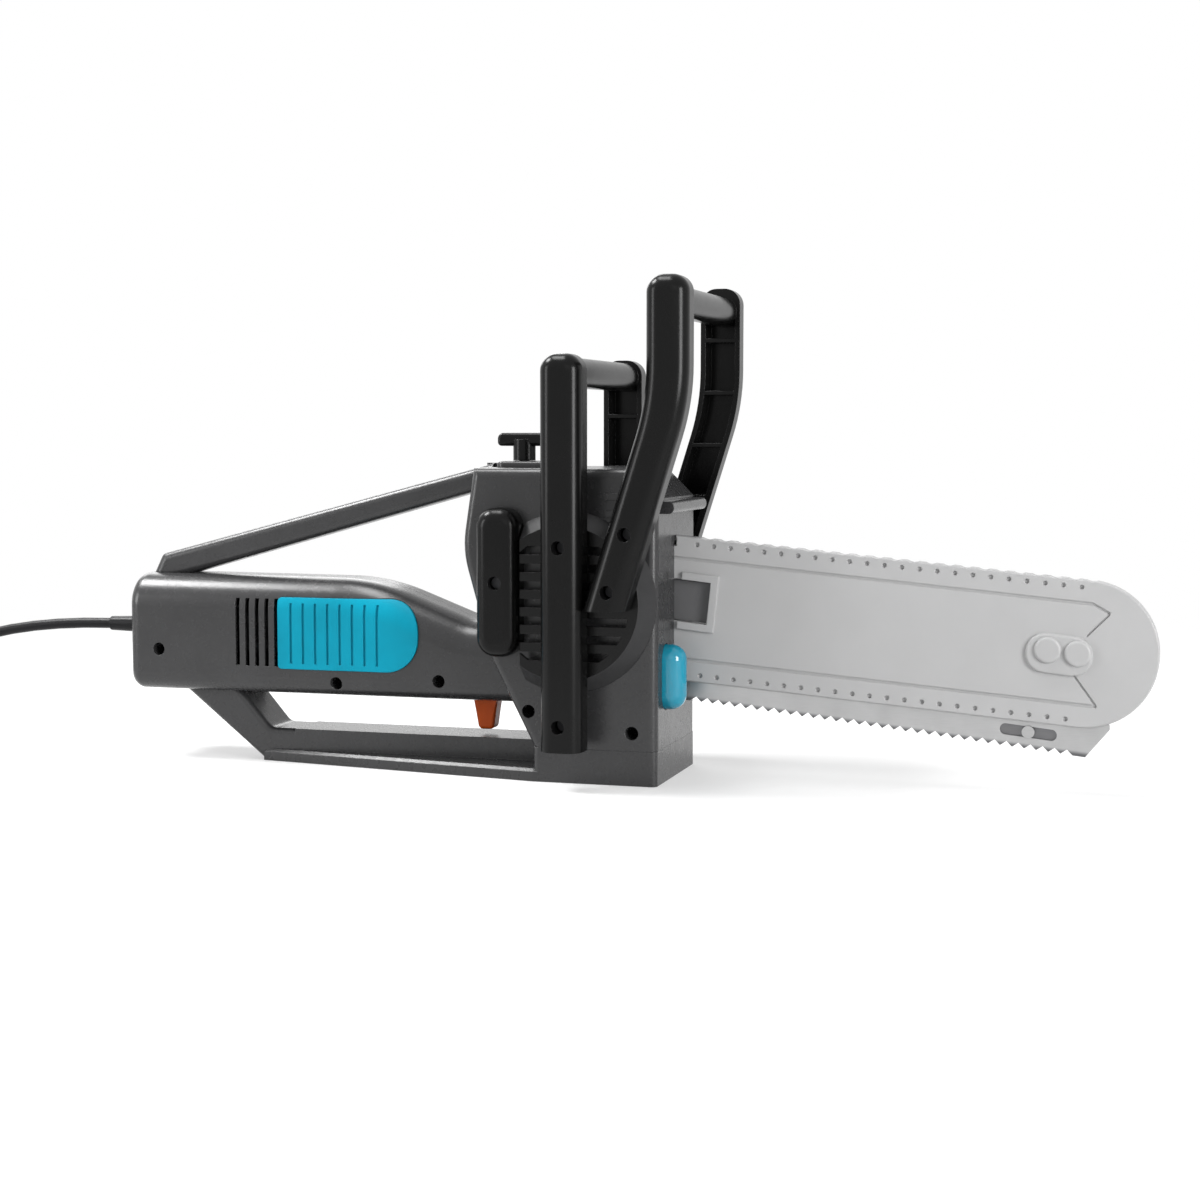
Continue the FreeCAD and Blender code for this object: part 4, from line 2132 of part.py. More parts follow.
bar_tools += row(
    "dot_high", dot_count, dot_start, dot_pitch, lambda name, x: dot(name, x, high_edge(x) - dot_inset)
)
bar_tools += row(
    "dot_low",
    dot_count - 1,
    dot_start + dot_pitch,
    dot_pitch,
    lambda name, x: dot(name, x, low_edge(x) + dot_inset),
)
bar_tools += row("scallop", dot_count, dot_start + dot_pitch / 2, dot_pitch, scallop)
bar_blank = fuse("bar_blank", [bar_plate, bar_tongue, rim, nose_boss])
bar_near = cut("bar_near", bar_blank, fuse("bar_tools", bar_tools))
node("sheath_right", blade_line(compound("sheath_right", [bar_near])))
bar_far = mirror("bar_far", bar_near)
node("sheath_left", blade_line(compound("sheath_left", [bar_far])))
nose_rivets = []
head_seat = bar_half + boss_proud
for label, x in (("rear", pad_rear), ("front", pad_front)):
    head = body_of("nose_rivet_head_" + label)
    circle = add_sketch(head, "nose_rivet_circle_" + label, "XZ", head_seat)
    ring(circle, (x, pad_level), pad_radius)
    pad(head, "nose_rivet_pad_" + label, circle, pad_proud)
    face = -head_seat - pad_proud
    soften(head, "nose_rivet_dome_" + label, pad_dome, lambda edge: edge_lies(edge, "Y", face))
    shank = rod("nose_rivet_shank_" + label, "Y", pad_shank, -head_seat, head_seat * 2, (x, pad_level))
    nose_rivets.append(fuse("nose_rivet_" + label, [head, mirror("nose_rivet_far_" + label, head), shank]))
node("nose_rivets", blade_line(compound("nose_rivets", nose_rivets)))
lug = plate(
    "bar_lug",
    [
        (lug_start, notch_low + lug_gap),
        (notch_end - lug_gap, notch_low + lug_gap, lug_round),
        (notch_end - lug_gap, notch_high - lug_gap, lug_round),
        (lug_start, notch_high - lug_gap),
    ],
    -lug_thick / 2,
    lug_thick / 2,
)
node("bar_lug", blade_line(lug))
doc.recompute()

# Trigger, its pin and spring, and the switch it works.
trigger_half = trigger_width / 2
arm_front_x = trigger_x + trigger_arm + plunger_radius
trigger_rear_x = trigger_root_rear + seam_gap * 3
trigger_blank = plate(
    "trigger_blank",
    [
        (trigger_tip_rear, trigger_tip, trigger_tip_round),
        (trigger_tip_front, trigger_tip, trigger_tip_round),
        (trigger_root_front, handle_bottom),
        (arm_front_x, trigger_level),
        (arm_front_x, trigger_top, trigger_arm_round),
        (arm_front_x - trigger_arm, trigger_top, trigger_arm_round),
        (trigger_x - trigger_arm / 2, trigger_level + trigger_arm),
        (trigger_rear_x, trigger_level, trigger_arm_round * 2),
        (trigger_rear_x, handle_bottom + shell_wall),
        (trigger_root_rear, handle_bottom),
    ],
    -trigger_half,
    trigger_half,
)


def on_trigger_side(edge):
    side = edge_lies(edge, "Y", trigger_half) or edge_lies(edge, "Y", -trigger_half)
    bounds = edge.BoundBox
    return side and bounds.ZMax < float(handle_bottom) + 0.1 and bounds.ZMin < float(handle_bottom) - 1


soften(trigger_blank, "trigger_edge", trigger_edge, on_trigger_side)
pin_bore_radius = trigger_pin_radius + running_gap
trigger_bore = rod(
    "trigger_bore",
    "Y",
    pin_bore_radius,
    -trigger_width,
    trigger_width * 2,
    (trigger_x, trigger_level),
)
node("trigger", cut("trigger", trigger_blank, trigger_bore))
pin_half = trigger_width - trigger_gap
node(
    "trigger_pin",
    rod("trigger_pin", "Y", trigger_pin_radius, -pin_half, pin_half * 2, (trigger_x, trigger_level)),
)


def spring(name, x, y, z, length, radius, wire, turns):
    """Coil spring along X, its wire ends inside the given length."""
    body = body_of(name)
    wire_end = add_sketch(body, name + "_wire", "XZ")
    ring(wire_end, (wire, radius), wire)
    coil = body.newObject("PartDesign::AdditiveHelix", name + "_coil")
    coil.Profile = wire_end
    coil.ReferenceAxis = (origin_item(body, ORIGIN_AXES["X"]), [""])
    coil.Mode = "height-turns-angle"
    coil.Height = float(length - wire * 2)
    coil.Turns = float(turns)
    bind(coil, "Height", length - wire * 2)
    bind(coil, "Turns", turns)
    body.Tip = coil
    put(body, x, y, z)
    doc.recompute()
    return node(name, body)


spring(
    "trigger_spring",
    spring_wall_x + seam_gap,
    0,
    trigger_spring_level,
    trigger_rear_x - spring_wall_x - seam_gap * 2,
    trigger_spring_radius,
    trigger_spring_wire,
    trigger_spring_turns,
)
switch_blank = box(
    "switch_blank",
    (switch_rear_x, switch_rear_x + switch_length),
    (-switch_width / 2, switch_width / 2),
    (switch_low, switch_high),
)
switch_bore = rod(
    "switch_bore",
    "X",
    plunger_radius + guide_gap,
    switch_rear_x - 1,
    plunger_bore + 1,
    (Dim(0), plunger_level),
)
node("power_switch", cut("power_switch", switch_blank, switch_bore))
plunger_rear_x = arm_front_x + plunger_gap
node(
    "switch_plunger",
    rod(
        "switch_plunger",
        "X",
        plunger_radius,
        plunger_rear_x,
        switch_rear_x + plunger_depth - plunger_rear_x,
        (Dim(0), plunger_level),
    ),
)

# Release button and its spring.
button_blank = plate(
    "button_blank",
    button_outline(Dim(0)),
    front_x - button_inside,
    front_x + button_proud,
    "YZ",
)
button_face = front_x + button_proud
soften(button_blank, "button_dome_rounding", button_dome, lambda edge: edge_lies(edge, "X", button_face))
button_rear = front_x - button_inside
flange = plate(
    "button_flange",
    button_outline(button_flange),
    button_rear,
    button_rear + button_flange_thick,
    "YZ",
)
node("release_button", fuse("release_button", [button_blank, flange]))
spring(
    "button_spring",
    spring_seat_x + seam_gap,
    -button_offset,
    button_level,
    button_rear - spring_seat_x - seam_gap * 2,
    button_spring_radius,
    button_spring_wire,
    button_spring_turns,
)

# Strain relief, inner lead and power cord.
OUTLET = (Dim(0), cord_level)
relief_end_x = handle_rear_x - relief_length
relief_sleeve = cone(
    "relief_sleeve",
    "X",
    relief_tip_radius,
    relief_radius,
    relief_end_x,
    relief_length,
    OUTLET,
)
relief_neck = rod("relief_neck", "X", relief_radius, handle_rear_x - 1, shell_wall + 2, OUTLET)
relief_collar = rod(
    "relief_collar", "X", relief_flange, handle_rear_x + shell_wall, relief_flange_thick, OUTLET
)
relief_bore = rod(
    "relief_bore", "X", cord_radius + seam_gap / 2, relief_end_x - 1, relief_length + lead_length, OUTLET
)
relief_blank = fuse("relief_blank", [relief_sleeve, relief_neck, relief_collar])
node("strain_relief", cut("strain_relief", relief_blank, relief_bore))
node("inner_lead", rod("inner_lead", "X", cord_radius, relief_end_x, relief_length + lead_length, OUTLET))

coil_outer = coil_inner + coil_step * coil_turns
coil_level = cord_radius + tie_thick + tie_gap
coil_top_level = coil_level + coil_layer
CORD_CORNERS = [
    (relief_end_x, Dim(0), cord_level),
    (cord_droop_x, Dim(0), cord_level),
    (cord_fall_x, -cord_fall_offset, cord_fall_level),
    (cord_floor_x, -coil_outer, coil_level),
    (coil_x + coil_lead, -coil_outer, coil_level),
]
BEND_SHARE = 0.45


def bent_path(corners):
    """Straight runs joined by tangent arcs, and the arcs' radii."""
    spots = [FreeCAD.Vector(*corner) for corner in corners]
    edges = []
    radii = []
    start = spots[0]
    for before, corner, after in zip(spots, spots[1:], spots[2:]):
        back = before - corner
        ahead = after - corner
        reach = BEND_SHARE * min(back.Length, ahead.Length)
        back.normalize()
        ahead.normalize()
        half = back.getAngle(ahead) / 2
        radius = reach * math.tan(half)
        enter = corner + back * reach
        leave = corner + ahead * reach
        centre = corner + (back + ahead).normalize() * (reach / math.cos(half))
        middle = centre + (corner - centre).normalize() * radius
        edges.append(Part.LineSegment(start, enter).toShape())
        edges.append(Part.Arc(enter, middle, leave).toShape())
        radii.append(radius)
        start = leave
    edges.append(Part.LineSegment(start, spots[-1]).toShape())
    return Part.Wire(edges), radii


def swept_tube(path, radius):
    """Round tube along a path."""
    first = path.Edges[0]
    start = first.valueAt(first.FirstParameter)
    heading = first.tangentAt(first.FirstParameter)
    section = Part.Wire([Part.makeCircle(float(radius), start, heading)])
    return path.makePipeShell([section], True, False)


cord_path, cord_radii = bent_path(CORD_CORNERS)
cord = doc.addObject("Part::Feature", "power_cord")
cord.Shape = swept_tube(cord_path, cord_radius)
node("power_cord", cord)
print("cord arc radii:", ", ".join("{:.1f}".format(radius) for radius in cord_radii))


def coil_route():
    """Two layers of half turns: inward on the floor, up, then outward."""
    step = float(coil_step) / 2
    centre_x = float(coil_x)
    low = float(coil_level)
    high = float(coil_top_level)
    spot = FreeCAD.Vector(centre_x, -float(coil_outer), low)
    edges = [Part.LineSegment(spot + X_AXIS * float(coil_lead), spot).toShape()]
    radius = float(coil_outer)
    side = 1
    inward = 2 * int(coil_turns)
    for turn in range(inward):
        end = spot + Y_AXIS * (2 * radius * side)
        middle = (spot + end) / 2 - X_AXIS * (radius * side)
        edges.append(Part.Arc(spot, middle, end).toShape())
        spot = end
        side = -side
        radius -= step
    end = FreeCAD.Vector(centre_x, spot.y + 2 * radius * side, high)
    rise = (end - spot) / 2
    bend = rise.Length
    halfway = (spot + end) / 2 - X_AXIS * (bend * side)
    slant = math.sqrt(0.5)
    for begin, finish, pull in ((spot, halfway, -rise), (halfway, end, rise)):
        hub = (spot + end) / 2
        corner = hub + (pull.normalize() * bend - X_AXIS * (bend * side)) * slant
        edges.append(Part.Arc(begin, corner, finish).toShape())
    spot = end
    side = -side
    for turn in range(inward - 1):
        radius += step
        end = spot + Y_AXIS * (2 * radius * side)
        middle = (spot + end) / 2 - X_AXIS * (radius * side)
        edges.append(Part.Arc(spot, middle, end).toShape())
        spot = end
        side = -side
    edges.append(Part.LineSegment(spot, spot - X_AXIS * float(coil_tail)).toShape())
    return Part.Wire(edges), spot - X_AXIS * float(coil_tail)


coil_path, coil_end = coil_route()
coil = doc.addObject("Part::Feature", "cord_coil")
coil.Shape = swept_tube(coil_path, cord_radius)
node("cord_coil", coil)


def least_self_gap(path, radius):
    """Smallest gap between stretches of a tube that are not next to each other."""
    spots = path.discretize(Distance=2.0)
    skip = int(8 * float(radius) / 2)
    least = 1000.0
    for place, spot in enumerate(spots):
        for other in spots[place + skip:]:
            least = min(least, spot.distanceToPoint(other))
    return least - 2 * float(radius)


print("coil least self gap: {:.2f}".format(least_self_gap(coil_path, cord_radius)))
for label, item, path in (("cord", cord, cord_path), ("coil", coil, coil_path)):
    wanted = math.pi * float(cord_radius) ** 2 * path.Length
    print(
        "{} length {:.0f}, volume {:.0f}, wanted {:.0f}".format(
            label,
            path.Length,
            item.Shape.Volume,
            wanted,
        )
    )

tie_outer = coil_outer + cord_radius + tie_gap + tie_thick
tie_inner = coil_inner - cord_radius - tie_gap - tie_thick
tie_top = coil_top_level + cord_radius + tie_gap + tie_thick
tie_blank = plate(
    "tie_blank",
    corners_of((coil_x - tie_outer, coil_x - tie_inner), (Dim(0), tie_top), tie_round),
    -tie_width / 2,
    tie_width / 2,
)
tie_window = plate(
    "tie_window",
    corners_of(
        (coil_x - tie_outer + tie_thick, coil_x - tie_inner - tie_thick),
        (tie_thick, tie_top - tie_thick),
        tie_round - tie_thick,
    ),
    -tie_width,
    tie_width,
)
node("cord_tie", cut("cord_tie", tie_blank, tie_window))

# Plug: generic body with two round pins.
plug_front_x = coil_x - coil_tail
plug_rear_x = plug_front_x - plug_length
plug_y = Dim(coil_end.y)
plug_body = plate(
    "plug_body",
    [
        (plug_front_x, plug_y - plug_neck / 2),
        (plug_front_x, plug_y + plug_neck / 2),
        (plug_front_x - plug_length / 2, plug_y + plug_width / 2, plug_round),
        (plug_rear_x, plug_y + plug_width / 2, plug_corner),
        (plug_rear_x, plug_y - plug_width / 2, plug_corner),
        (plug_front_x - plug_length / 2, plug_y - plug_width / 2, plug_round),
    ],
    Dim(0),
    coil_top_level * 2,
    "XY",
)
soften(
    plug_body,
    "plug_edge",
    plug_round,
    lambda edge: edge.BoundBox.ZLength < 0.1
    and edge.CenterOfMass.x < float(plug_front_x) - 0.5
    and edge.CenterOfMass.x > float(plug_rear_x) + 0.5,
)
node("plug_body", plug_body)
pins = []
pin_end_x = plug_rear_x - pin_length
for label, across in (("near", -pin_spacing / 2), ("far", pin_spacing / 2)):
    pins.append(
        rod("plug_pin_" + label, "X", pin_radius, pin_end_x, pin_length, (plug_y + across, coil_top_level))
    )
node("plug_pins", compound("plug_pins", pins))
doc.recompute()

# Check every sub-part, then write one file for each.
for item in doc.Objects:
    if "Invalid" in item.State or "Error" in item.State:
        raise RuntimeError("{} did not build: {}".format(item.Name, item.State))
os.makedirs("parts", exist_ok=True)
# The origin lies under the middle of the knife's length.
nose_end_x = gear_x + nose_reach * cosine(blade_tilt) + nose_level * sine(blade_tilt) + nose_radius
middle_x = (handle_rear_x + nose_end_x) / 2
for name, item in nodes.items():
    shape = item.Shape.copy()
    shape.translate(FreeCAD.Vector(-float(middle_x), 0, 0))
    if shape.isNull() or not shape.isValid() or not shape.Solids:
        raise RuntimeError("{} is not a sound solid".format(name))
    shape.exportStep("parts/{}.step".format(name))
print("{} sub-parts written, origin {:.4f} from the source's zero line".format(len(nodes), middle_x))
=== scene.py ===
import json
import math

import bpy
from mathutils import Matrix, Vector


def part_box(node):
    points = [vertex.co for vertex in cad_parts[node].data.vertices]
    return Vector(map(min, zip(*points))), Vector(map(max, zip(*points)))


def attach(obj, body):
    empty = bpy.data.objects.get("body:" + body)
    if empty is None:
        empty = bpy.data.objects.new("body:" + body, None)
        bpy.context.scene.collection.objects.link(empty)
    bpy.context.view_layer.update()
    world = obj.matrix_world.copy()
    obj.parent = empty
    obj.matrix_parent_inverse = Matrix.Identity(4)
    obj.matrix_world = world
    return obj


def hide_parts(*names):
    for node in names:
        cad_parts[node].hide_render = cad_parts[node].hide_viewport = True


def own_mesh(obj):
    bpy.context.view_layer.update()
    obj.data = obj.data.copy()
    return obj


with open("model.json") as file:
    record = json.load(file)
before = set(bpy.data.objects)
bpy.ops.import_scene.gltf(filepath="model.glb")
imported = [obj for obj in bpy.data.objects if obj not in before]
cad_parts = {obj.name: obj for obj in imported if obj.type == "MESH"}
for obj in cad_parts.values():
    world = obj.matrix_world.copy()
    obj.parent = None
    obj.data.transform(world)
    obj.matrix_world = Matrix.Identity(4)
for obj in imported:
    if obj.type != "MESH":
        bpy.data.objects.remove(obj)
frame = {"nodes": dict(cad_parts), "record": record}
NODES = frame["nodes"]
SCENE = bpy.context.scene
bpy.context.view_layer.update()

MM = 0.001
# The part's origin, under the middle of its length, lies this far ahead of its zero line, in millimetres.
ORIGIN_X = 5.3594

SCENE.view_settings.view_transform = "Standard"


def spot(x, y, z):
    """A place given in millimetres from the part's zero line."""
    return Vector((x - ORIGIN_X, y, z)) * MM


# Camera at the photograph's viewing angle.
CAMERA_AT = spot(278.644, -955.540, 167.0)
CAMERA_TURN = math.radians(16.5)
CAMERA_DIP = math.radians(4.74)
CAMERA_LENS = 61.5
SENSOR_WIDTH = 36.0


def make_camera():
    data = bpy.data.cameras.new("photo_camera")
    data.lens = CAMERA_LENS
    data.sensor_width = SENSOR_WIDTH
    camera = bpy.data.objects.new("photo_camera", data)
    SCENE.collection.objects.link(camera)
    camera.location = CAMERA_AT
    aim = Vector((
        -math.sin(CAMERA_TURN) * math.cos(CAMERA_DIP),
        math.cos(CAMERA_TURN) * math.cos(CAMERA_DIP),
        -math.sin(CAMERA_DIP),
    ))
    camera.rotation_mode = "QUATERNION"
    camera.rotation_quaternion = aim.to_track_quat("-Z", "Y")
    SCENE.camera = camera


make_camera()

# Shader building blocks.

# The middle range of a noise, which is stretched over the whole range of what it drives.
NOISE_LOW = 0.3
NOISE_HIGH = 0.7
# Places of the two colours and of the result among the Mix node's sockets.
MIX_COLOURS = (6, 7)
MIX_RESULT = 2
BEVEL_SAMPLES = 4
# Cosine between the softened and the true normal, on a sharp edge and on a flat face.
SHARP_COSINE = 0.75
FLAT_COSINE = 0.98
FACE_FADE = 0.2 * MM


class Shader:
    """Node tree of one procedural material."""

    def __init__(self, name):
        self.material = bpy.data.materials.new(name)
        self.material.use_nodes = True
        self.tree = self.material.node_tree
        self.surface = self.tree.nodes["Principled BSDF"]
        self.place = self.add("ShaderNodeTexCoord").outputs["Object"]

    def add(self, kind, **settings):
        made = self.tree.nodes.new(kind)
        for key, value in settings.items():
            setattr(made, key, value)
        return made

    def link(self, source, target):
        self.tree.links.new(source, target)

    def set(self, **values):
        """Constant values on the surface's own sockets."""
        for key, value in values.items():
            self.surface.inputs[key.replace("_", " ")].default_value = value

    def feed(self, **sources):
        """Node outputs into the surface's sockets."""
        for key, source in sources.items():
            self.link(source, self.surface.inputs[key.replace("_", " ")])

    def stretched(self, scale):
        mapping = self.add("ShaderNodeMapping")
        mapping.inputs["Scale"].default_value = scale
        self.link(self.place, mapping.inputs["Vector"])
        return mapping.outputs["Vector"]

    def noise(self, scale, detail, place=None):
        made = self.add("ShaderNodeTexNoise")
        made.inputs["Scale"].default_value = scale
        made.inputs["Detail"].default_value = detail
        self.link(place or self.place, made.inputs["Vector"])
        return made.outputs["Fac"]

    def spread(self, source, low, high, start=NOISE_LOW, stop=NOISE_HIGH):
        """Low at start, high at stop, and even between them."""
        made = self.add("ShaderNodeMapRange")
        made.inputs["From Min"].default_value = start
        made.inputs["From Max"].default_value = stop
        made.inputs["To Min"].default_value = low
        made.inputs["To Max"].default_value = high
        self.link(source, made.inputs["Value"])
        return made.outputs["Result"]

    def blend(self, share, first, second):
        """First where the share is 0, second where it is 1; each is a colour or a node output."""
        made = self.add("ShaderNodeMix", data_type="RGBA")
        self.link(share, made.inputs["Factor"])
        for value, index in zip((first, second), MIX_COLOURS):
            if isinstance(value, bpy.types.NodeSocket):
                self.link(value, made.inputs[index])
            else:
                made.inputs[index].default_value = (*value, 1)
        return made.outputs[MIX_RESULT]

    def soft_edges(self, radius):
        made = self.add("ShaderNodeBevel", samples=BEVEL_SAMPLES)
        made.inputs["Radius"].default_value = radius
        return made.outputs["Normal"]

    def edge_share(self, radius, gain):
        """Gain along edges, 0 on flat faces."""
        soft = self.soft_edges(radius)
        flat = self.add("ShaderNodeNewGeometry").outputs["Normal"]
        made = self.add("ShaderNodeVectorMath", operation="DOT_PRODUCT")
        self.link(soft, made.inputs[0])
        self.link(flat, made.inputs[1])
        return self.spread(made.outputs["Value"], gain, 0.0, SHARP_COSINE, FLAT_COSINE)

    def axis_share(self, centre, radius):
        """1 within a radius of a line along Y, 0 outside it."""
        shift = self.add("ShaderNodeMapping")
        shift.inputs["Location"].default_value = (-centre.x, 0, -centre.z)
        shift.inputs["Scale"].default_value = (1, 0, 1)
        self.link(self.place, shift.inputs["Vector"])
        away = self.add("ShaderNodeVectorMath", operation="LENGTH")
        self.link(shift.outputs["Vector"], away.inputs[0])
        return self.spread(away.outputs["Value"], 1.0, 0.0, radius - FACE_FADE, radius)

    def seam_share(self, half_width):
        """1 on the middle plane, 0 away from it."""
        axes = self.add("ShaderNodeSeparateXYZ")
        self.link(self.place, axes.inputs["Vector"])
        away = self.add("ShaderNodeMath", operation="ABSOLUTE")
        self.link(axes.outputs["Y"], away.inputs[0])
        return self.spread(away.outputs["Value"], 1.0, 0.0, half_width / 2, half_width)

    def height_share(self, up, start, stop, gain):
        """Gain below start, 0 above stop, measured along a direction."""
        height = self.add("ShaderNodeVectorMath", operation="DOT_PRODUCT")
        height.inputs[1].default_value = up
        self.link(self.place, height.inputs[0])
        return self.spread(height.outputs["Value"], gain, 0.0, start, stop)

    def bump(self, height, depth, normal=None):
        made = self.add("ShaderNodeBump")
        made.inputs["Strength"].default_value = 1.0
        made.inputs["Distance"].default_value = depth
        self.link(height, made.inputs["Height"])
        if normal:
            self.link(normal, made.inputs["Normal"])
        return made.outputs["Normal"]


def shade(colour, factor):
    return tuple(min(1.0, part * factor) for part in colour)


# Marks laid over a material's base colour.
BLACK = (0.004, 0.004, 0.004)
SEAM_HALF_WIDTH = 0.25 * MM
FAN_CENTRE = spot(-9.0, 0.0, 86.0)
FAN_FACE_RADIUS = 36.5 * MM
DRIVE_CENTRE = spot(-6.0, 0.0, 45.5)
BLADE_TILT = math.radians(5.9)
BLADE_UP = Vector((math.sin(BLADE_TILT), 0, math.cos(BLADE_TILT)))
# Tips of the teeth from the line through the drive's centre.
TOOTH_TIP = -3.7 * MM
TOOTH_DEPTH = 2.3 * MM
# Painted shade along the blades' toothed edge, in place of the shade on the angled tooth facets.
TOOTH_SHADE_COLOUR = (0.09, 0.09, 0.095)
TOOTH_SHADE_COVER = 0.9
# The painted shade along the teeth fades out between these shares of the teeth's depth.
TOOTH_SHADE_START = 0.4
TOOTH_SHADE_STOP = 1.1
# Painted shade on the blades' faces where they meet, standing in for the shaded slot between the blades.
SLOT_SHADE_HALF_WIDTH = 0.2 * MM
SLOT_SHADE_COLOUR = (0.16, 0.16, 0.165)


def parting_line(shader, base):
    """Dark line where the two housing shells meet."""
    return shader.blend(shader.seam_share(SEAM_HALF_WIDTH), base, BLACK)


def black_face(shader, base):
    """Black louvred face inside the fan cover's grey ring."""
    return shader.blend(shader.axis_share(FAN_CENTRE, FAN_FACE_RADIUS), base, BLACK)


def painted_blade_shade(shader, base):
    """Painted shade along the blades' toothed edge, and painted shade on the faces between the blades,
    where the slot lies in shade.
    """
    tip = BLADE_UP.dot(DRIVE_CENTRE) + TOOTH_TIP
    start = tip + TOOTH_DEPTH * TOOTH_SHADE_START
    stop = tip + TOOTH_DEPTH * TOOTH_SHADE_STOP
    base = shader.blend(shader.height_share(BLADE_UP, start, stop, TOOTH_SHADE_COVER), base, TOOTH_SHADE_COLOUR)
    # Painted shade in the slot between the blades.
    return shader.blend(shader.seam_share(SLOT_SHADE_HALF_WIDTH), base, SLOT_SHADE_COLOUR)


# Moulded plastics and rubbers. Scales count a noise's waves in a metre.
CLOUD_SCALE = 38.0
CLOUD_DETAIL = 4.0
SCUFF_SCALE = 220.0
SCUFF_DETAIL = 5.0
SCUFF_SMOOTH = 0.9
SCUFF_ROUGH = 1.12
GRAIN_DETAIL = 2.0
PLASTIC_EDGE = 0.6 * MM
# How much paler the edges turn: rubbed wear and a painted edge highlight together.
EDGE_WEAR_HIGHLIGHT_GAIN = 1.4
EDGE_WEAR_HIGHLIGHT_LIFT = 0.05


def moulded(name, colour, rough, grain, depth, gloss=0.4, wear_and_highlight=0.35, mottle=0.1, marks=None):
    """Moulded plastic: fine spark grain, uneven sheen, light scuffs, edges rubbed paler and painted paler
    as an edge highlight.
    """
    shader = Shader(name)
    shader.set(Specular_IOR_Level=gloss)
    cloudy = shader.spread(shader.noise(CLOUD_SCALE, CLOUD_DETAIL), 0.0, 1.0)
    base = shader.blend(cloudy, shade(colour, 1 - mottle), shade(colour, 1 + mottle))
    # Edges paler, partly as rubbed wear and partly as a painted highlight along them.
    worn_and_highlit = tuple(part * EDGE_WEAR_HIGHLIGHT_GAIN + EDGE_WEAR_HIGHLIGHT_LIFT for part in colour)
    base = shader.blend(shader.edge_share(PLASTIC_EDGE, wear_and_highlight), base, worn_and_highlit)
    if marks:
        base = marks(shader, base)
    scuffs = shader.noise(SCUFF_SCALE, SCUFF_DETAIL)
    sheen = shader.spread(scuffs, rough * SCUFF_SMOOTH, rough * SCUFF_ROUGH)
    grainy = shader.bump(shader.noise(grain, GRAIN_DETAIL), depth, shader.soft_edges(PLASTIC_EDGE))
    shader.feed(Base_Color=base, Roughness=sheen, Normal=grainy)
    return shader.material


# Bare metals.
POLISH_SCALE = 60.0
POLISH_DETAIL = 4.0
POLISH_MOTTLE = 0.06
DRAWN_SMOOTH = 0.75
DRAWN_ROUGH = 1.3
METAL_EDGE = 0.2 * MM


def metal(name, colour, rough, along=(1.0, 1.0, 1.0), depth=0.01 * MM, grain=900.0, marks=None):
    """Bare metal: uneven polish, and drawn scratches that are long where along is small."""
    shader = Shader(name)
    shader.set(Metallic=1.0)
    cloudy = shader.spread(shader.noise(POLISH_SCALE, POLISH_DETAIL), 0.0, 1.0)
    base = shader.blend(cloudy, shade(colour, 1 - POLISH_MOTTLE), shade(colour, 1 + POLISH_MOTTLE))
    if marks:
        base = marks(shader, base)
    drawn = shader.noise(grain, GRAIN_DETAIL, shader.stretched(along))
    sheen = shader.spread(drawn, rough * DRAWN_SMOOTH, rough * DRAWN_ROUGH)
    scratched = shader.bump(drawn, depth, shader.soft_edges(METAL_EDGE))
    shader.feed(Base_Color=base, Roughness=sheen, Normal=scratched)
    return shader.material


# Wound wire.
WIRE_SCALE = 600.0
WIRE_WANDER = 1.5
WIRE_DEPTH = 0.1 * MM
# Painted shade between the wire's turns and painted highlight on them.
WIRE_SHADOW = 0.6
WIRE_LIGHT = 1.1


def wound(name, colour):
    """Enamelled copper: fine rings of wire, with painted shade between the turns and a painted highlight
    on them.
    """
    shader = Shader(name)
    shader.set(Metallic=0.9, Roughness=0.35)
    wire = shader.add("ShaderNodeTexWave", bands_direction="X")
    wire.inputs["Scale"].default_value = WIRE_SCALE
    wire.inputs["Distortion"].default_value = WIRE_WANDER
    shader.link(shader.place, wire.inputs["Vector"])
    rings = wire.outputs["Fac"]
    base = shader.blend(rings, shade(colour, WIRE_SHADOW), shade(colour, WIRE_LIGHT))
    shader.feed(Base_Color=base, Normal=shader.bump(rings, WIRE_DEPTH))
    return shader.material


